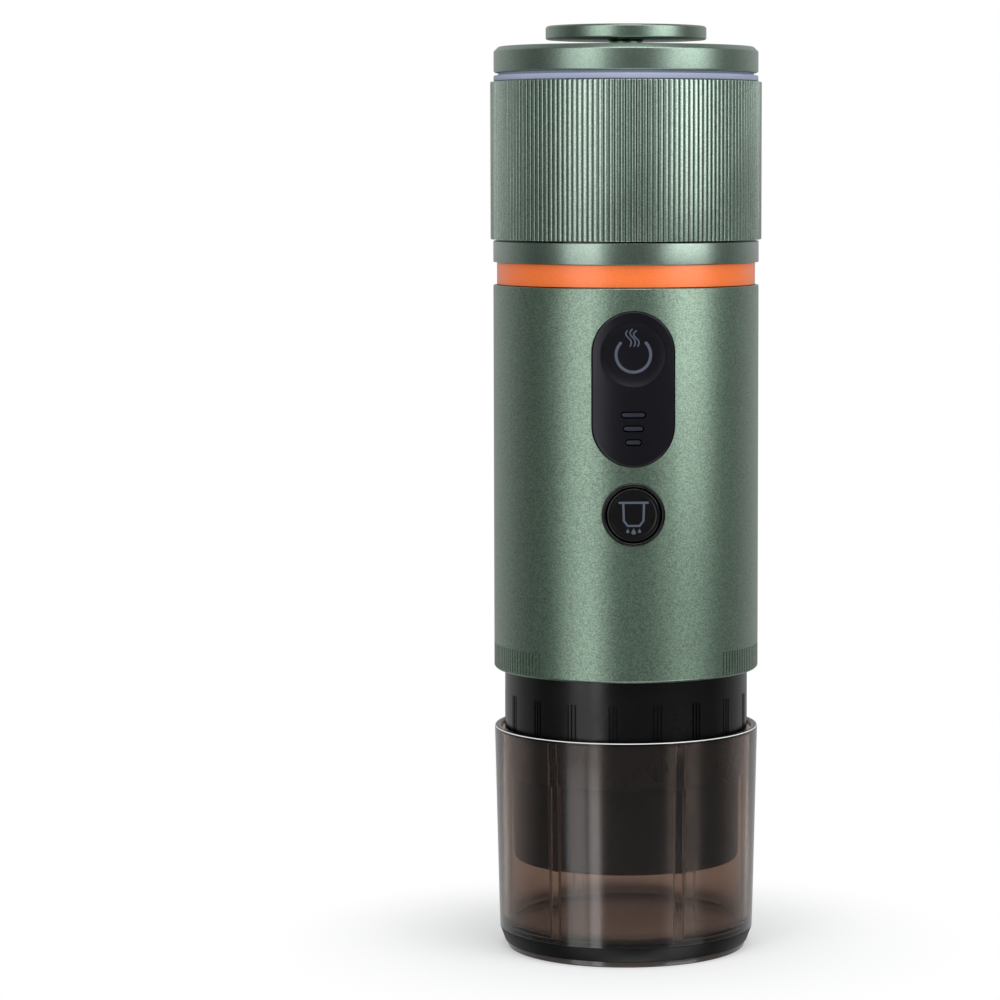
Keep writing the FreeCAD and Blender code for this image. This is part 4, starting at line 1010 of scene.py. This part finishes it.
bpy.ops.mesh.normals_make_consistent(inside=False)
lay_on(panel, panel_front, to_edge)
thicken(panel, 2.4)
for width, height in light_places:
    cut(panel, front_cutter("light_slot", width, slot_height, height, 32))
finish_piece(panel, "machine", panel_black, "panel_black", "control_panel")

# %% [markdown]
# ### Power key
# The key is a disc in the dish with a hair's breadth of gap round it. Rings of insets give it enough
# points to follow the dish, and a turned plunger behind it reaches the switch on the board.

# %% Power key
key_size = 2 * dish_radius - 0.06
key = oblong_face("power_key", key_size, key_size, dish_middle, flat_distance, 180)
insets([0.4] * 19)
lay_on(key, panel_front)
thicken(key, 2.2)
plunger_radius = 2.5
plunger_tip = -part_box("power_button")[1].y / mm
plunger_end = plunger_tip + 3.7
plunger = lathe("plunger", [(0, plunger_tip), (plunger_radius, plunger_tip),
                            (plunger_radius, plunger_end), (0, plunger_end)], 48)
key = join([key, face_front(plunger, dish_middle)])
finish_piece(key, "power_button", panel_black, "panel_black", "power_button")

# %% [markdown]
# ## Printed signs
# The signs are pad-printed lines. A mask in the material would be coarse once it is baked, so each
# line is a bevelled curve whose ends taper like a half circle, made a mesh and pressed flat on the
# surface that carries it, a few hundredths of a millimetre thick.

# %% Printing helper
round_end = ((1.0, 0.05), (0.87, 0.5), (0.5, 0.87))     # shares of half the width: way out, radius

def stroke(name, points, width, front, radii=None):
    """Printed line through (x, height) points with round ends, lying on a surface."""
    half = width / 2
    if radii is None:
        first, last = Vector(points[0]), Vector(points[-1])
        away = (first - Vector(points[1])).normalized()
        onward = (last - Vector(points[-2])).normalized()
        radii = [r for s, r in round_end] + [1.0] * len(points) + [r for s, r in reversed(round_end)]
        points = ([tuple(first + away * half * s) for s, r in round_end] + list(points)
                  + [tuple(last + onward * half * s) for s, r in reversed(round_end)])
    curve = bpy.data.curves.new(name, "CURVE")
    curve.dimensions = "3D"
    curve.bevel_depth = half * mm
    curve.bevel_resolution = 3
    line = curve.splines.new("POLY")
    line.points.add(len(points) - 1)
    for point, (x, z), radius in zip(line.points, points, radii):
        point.co = (x * mm, 0, z * mm, 1)
        point.radius = radius
    drawn = bpy.data.objects.new(name, curve)
    bpy.context.scene.collection.objects.link(drawn)
    pick(drawn)
    bpy.ops.object.convert(target="MESH")
    piece = bpy.context.object
    for vertex in piece.data.vertices:
        raised = max(-1.0, min(1.0, -vertex.co.y / (half * mm)))
        vertex.co.y = -(front(vertex.co.x / mm, vertex.co.z / mm) + 0.01 + 0.03 * raised) * mm
    smooth(piece, 80)
    return piece

# %% Lines for the signs
def arc(radius, middle, first, last, count):
    """Points on an arc; angles are degrees clockwise from the top."""
    angles = [math.radians(first + (last - first) * index / count) for index in range(count + 1)]
    return [(radius * math.sin(angle), middle + radius * math.cos(angle)) for angle in angles]


def soft_turn(p, q, r, s, t):
    """Value at a share of the way from q to r on a soft line that passes p, q, r and s."""
    return 0.5 * (2 * q + (r - p) * t + (2 * p - 5 * q + 4 * r - s) * t ** 2
                  + (3 * q - p - 3 * r + s) * t ** 3)


def smooth_line(points):
    """Points on a soft line through a few given ones."""
    full = [points[0]] + list(points) + [points[-1]]
    line = [tuple(soft_turn(*axis, index / 8) for axis in zip(*four))
            for four in zip(full, full[1:], full[2:], full[3:]) for index in range(8)]
    return line + [points[-1]]

# %% Power sign
steam = [[(-0.81, 2.2), (-0.58, 2.9), (-0.66, 3.6), (-1.3, 4.35), (-1.87, 5.0), (-1.92, 5.55), (-1.6, 6.1)],
         [(0.22, 2.2), (0.45, 2.95), (0.36, 3.7), (-0.25, 4.5), (-0.8, 5.2), (-0.82, 5.85), (-0.35, 6.5)],
         [(1.15, 2.2), (1.4, 2.9), (1.3, 3.6), (0.65, 4.3), (0.08, 4.95), (0.15, 5.55), (0.75, 6.15)]]
signs = [stroke("power_sign", arc(4.4, dish_middle, 47, 312, 72), 0.8, panel_front)]
for wave in steam:
    line = smooth_line([(x, dish_middle + z) for x, z in wave])
    signs.append(stroke("steam", line, 0.38, panel_front))
finish_piece(join(signs), "power_button", icon_print, "light_grey")

# %% [markdown]
# ## Charge lights
# Three clear bars carry the light from the board into the panel's slots and end half a millimetre
# behind the surface. Each is an oblong with a gap all round, and its edges are rounded as moulded.

# %% Charge lights
bar_gap = 0.3
bars = []
for width, height in light_places:
    bar = oblong("charge_lights", width - 2 * bar_gap, slot_height - 2 * bar_gap, height,
                 28, body_radius - 0.5, 32)
    bars.append(round_edges(bar, 0.12))
finish_piece(join(bars), "machine", light_guide, "light_grey", "light_bars")

# %% [markdown]
# ## Brew button
# A round frame with a softly rounded rim stands half a millimetre proud of the body, and the key sits
# in it with a dark gap round it and a fine step near its edge. Both are turned and then laid on their
# side, which is shorter than rounding the edges of a cylinder one by one.

# %% Brew button
frame_bore, key_radius = 7.2, 6.88
frame_front = body_radius + 0.5
key_front = frame_front - 0.3
key_floor = key_front - 0.12
bezel = lathe("brew_frame", [(frame_bore, 31.4), (bezel_radius, 31.4),
                             (bezel_radius, frame_front, 0.45), (frame_bore, frame_front, 0.35)])
finish_piece(face_front(bezel, bezel_middle), "machine", hard_black, "black_plastic", "button_bezel")
brew_tip = -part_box("brew_button")[1].y / mm
brew_key = lathe("brew_key", [
    (0, brew_tip), (plunger_radius, brew_tip), (plunger_radius, 31.9), (key_radius, 31.9),
    (key_radius, key_front, 0.5), (5.9, key_front, 0.2), (5.6, key_floor, 0.3), (0, key_floor)])
finish_piece(face_front(brew_key, bezel_middle), "brew_button", hard_black, "black_plastic", "brew_button")

# %% [markdown]
# ### Brew sign
# The sign is a little bowl under a line, with three drops below. The lines are strokes as before,
# and a drop is a stroke too: a short one whose radius swells and shrinks along the way.

# %% Brew sign
on_key = lambda x, z: key_floor
bowl_lines = [[(-3.6, 3.17), (3.6, 3.17)],
              [(-2.65, 3.17), (-2.5, -1.45), (-1.5, -2.74), (1.5, -2.74), (2.5, -1.45), (2.65, 3.17)]]
drop_profile = [(0.0, 0.02), (0.2, 0.28), (0.4, 0.62), (0.55, 0.86),       # share of the way down, radius
                (0.68, 1.0), (0.8, 0.93), (0.92, 0.66), (1.0, 0.05)]
signs = [stroke("brew_sign", [(x, bezel_middle + z) for x, z in line], 0.6, on_key) for line in bowl_lines]
for x, top, bottom, width in ((0, -3.35, -5.0, 1.2), (-1.5, -3.4, -4.6, 0.82), (1.5, -3.4, -4.6, 0.82)):
    points = [(x, bezel_middle + top + (bottom - top) * share) for share, r in drop_profile]
    signs.append(stroke("drop", points, width, on_key, [r for share, r in drop_profile]))
finish_piece(join(signs), "brew_button", icon_print, "light_grey")

# %% [markdown]
# ## Charging flap
# The soft flap at the back follows the body's curve, like the panel. It is laid on the front first and
# then turned round, cut free along its lower edge, and given the barrel on which it swings.

# %% Charging flap
barrel_radius = 0.4
flap = oblong_face("flap_cover", flap_width, flap_height, flap_middle, flat_distance, 96)
insets((0.03, 0.07, 0.1, 0.1, 0.5, 0.5, 0.6, 0.6, 0.6))
lay_on(flap, body_front, inside_oblong(flap_width, flap_height, flap_middle), 0.3)
thicken(flap, 1.25)
hinge_height = flap_middle - flap_height / 2 + barrel_radius
cut(flap, block("hinge_edge", (-2.9, -37, hinge_height - 1.3), (2.9, -32, hinge_height)))
cut(flap, oblong("nail_notch", 6.0, 1.2, flap_middle + 4.5, 33.9, 36, 24))
deselect()
bpy.ops.mesh.primitive_cylinder_add(
    vertices=32, radius=barrel_radius * mm, depth=5.8 * mm, rotation=(0, math.pi / 2, 0),
    location=(0, (0.5 - body_radius) * mm, hinge_height * mm))
barrel = bpy.context.object
bpy.ops.object.transform_apply(location=True, rotation=True, scale=True)
flap = join([flap, round_edges(barrel, 0.08)])
turn_round(flap, 180)
finish_piece(flap, "port_flap", panel_black, "panel_black", "port_flap")

# %% [markdown]
# ## Coloured rings
# Between body and sleeve sit an orange ring, set back a little, and a plain green one. Both are short
# turned bands. The plain one is drawn a fifth of a millimetre taller than its solid and the sleeve
# above starts a little lower, because the photograph shows only a hair of shadow between them.

# %% Coloured rings
ring_bore, plain_rise, sleeve_drop = 31.6, 0.2, 0.3
for name, node, material, slot, rounding, rise in (
        ("orange_band", "accent_ring", orange_metal, "orange_metal", 0.2, 0.0),
        ("plain_band", "plain_ring", green_ring, "green_metal", 0.3, plain_rise)):
    radius, low, high = span(node)
    band = lathe(name, [(ring_bore, low), (radius, low, 0.1), (radius, high + rise, rounding),
                        (ring_bore, high + rise)])
    finish_piece(band, "machine", material, slot, node)

# %% [markdown]
# ## Grip sleeve
# The sleeve is held to turn the lid. A bump would flatten its outline, so its ridges are real: one bar
# with its front edges rounded, copied a hundred and sixty times round a turned core. Real ridges
# leave narrow dark grooves, so a ridge takes most of its pitch. Core and ridges stay two pieces,
# because the core shows only in the grooves and carries their shade as a painted darker green,
# while the ridges carry a painted lighter one.

# %% Grip sleeve
ridge_count, ridge_half, ridge_bevel = 160, 0.53, 0.24
low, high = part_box("knurled_sleeve")
sleeve_radius = (high.y - low.y) / 2 / mm
sleeve_base, sleeve_top = low.z / mm - sleeve_drop, high.z / mm
sleeve = lathe("grip_core", [(sleeve_radius - 2.0, sleeve_base), (sleeve_radius - 0.5, sleeve_base, 0.2),
                             (sleeve_radius - 0.5, sleeve_top, 0.3), (sleeve_radius - 2.0, sleeve_top)])
ridge = block("grip_ridges", (-ridge_half, -sleeve_radius, sleeve_base + 0.02),
              (ridge_half, 0.62 - sleeve_radius, sleeve_top - 0.05))
pick(ridge)
bpy.ops.object.mode_set(mode="EDIT")
mesh = bmesh.from_edit_mesh(ridge.data)
on_front = is_front(sleeve_radius - 0.1)
for edge in mesh.edges:
    edge.select = all(on_front(vertex.co) for vertex in edge.verts)
bmesh.update_edit_mesh(ridge.data)
bpy.ops.mesh.bevel(offset=ridge_bevel * mm, segments=3, affect="EDGES")
bpy.ops.object.mode_set(mode="OBJECT")
smooth(ridge, 40)
ridges = copies_round(ridge, [360 / ridge_count * index for index in range(ridge_count)])
ridges.name = "grip_ridges"
# The core carries the painted shade of the grooves, the ridges the painted lighter green.
finish_piece(sleeve, "machine", groove_shade_green, "green_metal", "knurled_sleeve")
finish_piece(ridges, "machine", green_ridged, "green_metal", "knurled_sleeve")

# %% [markdown]
# ## Lid
# The lid rests on a grey silicone ring that has a narrower neck. The lid's top edge has a bevel, its
# lower edge a small chamfer that shows as a bright line, and a flat knob stands on a short stem.
# All three are turned, because one half section shows every one of these edges at its true size.

# %% Lid seal
seal_bore, collar_height = 28.5, 1.55
seal_radius, seal_base, seal_high = span("lid_seal")
neck_base, neck_radius = seal_base + collar_height, seal_radius - 1.2
seal = lathe("grey_seal", [(seal_bore, seal_base), (seal_radius, seal_base, 0.3), (seal_radius, neck_base, 0.3),
                           (neck_radius, neck_base), (neck_radius, seal_high), (seal_bore, seal_high)])
finish_piece(seal, "lid_seal", grey_silicone, "grey_silicone", "lid_seal")

# %% Lid and knob
lid_wall, lid_bevel, stem_bore = 2.2, 1.25, 3.65
lid_radius, lid_base, lid_crown = span("lid_cap")
lid = lathe("lid_shell", [
    (stem_bore, lid_crown - lid_wall), (lid_radius - lid_wall, lid_crown - lid_wall, 0.8),
    (lid_radius - lid_wall, lid_base, 0.1), (lid_radius - 0.35, lid_base, 0.06),
    (lid_radius, lid_base + 0.35, 0.1), (lid_radius, lid_crown - lid_bevel, 0.25),
    (lid_radius - lid_bevel, lid_crown, 0.25), (stem_bore, lid_crown)])
finish_piece(lid, "lid", green_turned, "green_metal", "lid_cap")
spigot_radius, stem_radius, disc_height = 3.6, 4.4, 3.5
knob_radius, knob_foot, knob_top = span("knob")
knob_base, stem_foot = knob_top - disc_height, lid_crown + 0.05
knob = lathe("lid_knob", [
    (0, knob_foot), (spigot_radius, knob_foot), (spigot_radius, stem_foot), (stem_radius, stem_foot),
    (stem_radius, knob_base, 0.6), (knob_radius - 0.3, knob_base, 0.1), (knob_radius, knob_base + 0.3, 0.12),
    (knob_radius, knob_top - 0.45, 0.15), (knob_radius - 0.45, knob_top, 0.15), (0, knob_top)])
finish_piece(knob, "lid", green_turned, "green_metal", "knob")

# %% [markdown]
# ## A lamp for the metal alone
# The metal shows a second broad highlight on its right. The clear cup would mirror that lamp as a
# hard white stripe, so a photographer would hide it from the cup with a black card. Light linking
# does the same: the lamp has a collection of receivers, and lights nothing else.

# %% Light linking
metal_box = soft_box("metal_box", 50, 850, 180, 640, 260, 1.65)
receivers = bpy.data.collections.new("metal pieces")
for name in ("body_shell", "orange_band", "plain_band", "grip_core", "grip_ridges", "lid_shell", "lid_knob"):
    receivers.objects.link(bpy.data.objects[name])
metal_box.light_linking.receiver_collection = receivers

# %% [markdown]
# ## What stays from the construction
# The inner pieces keep their construction shape and get their finishes here. Each shows when the lid,
# the adapter or the holder is off, so none is left plain.

# %% Finishes of the inner pieces
inner_finishes = {
    black_plastic: ["head_socket", "tank_deck", "lid_plug", "battery_tray", "battery_cap", "key_switches"],
    brushed_steel: ["tank_liner", "needle_plate"],
    plain_steel: ["piercing_plate", "knob_screw", "drive_shaft", "charging_port", "temperature_sensor"],
    capsule_red: ["capsule_shell"],
    foil_metal: ["capsule_foil"],
    clear_silicone: ["collar_seal", "head_gasket"],
    grey_silicone: ["plug_ring"],
    frame_plastic: ["chassis"],
    light_grey: ["pump_housing", "pump_head"],
    board_green: ["control_board", "port_board"],
    cell_wrap: ["battery_cells"],
    motor_metal: ["motor"],
    heater_metal: ["heater_plate"],
    hose_silicone: ["suction_hose", "pressure_hose"]}
for material, names in inner_finishes.items():
    for name in names:
        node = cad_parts[name]
        node.data.materials.clear()
        node.data.materials.append(material)
print(sum(len(names) for names in inner_finishes.values()), "inner pieces")

# %% [markdown]
# ## Size and finish
# The dressed object must not be larger than its construction, so its box is printed here, to set beside the
# frame's box printed at the start.

# %% Sizes
low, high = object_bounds()
print("visual", [round(v / mm, 2) for v in high - low], "mm")
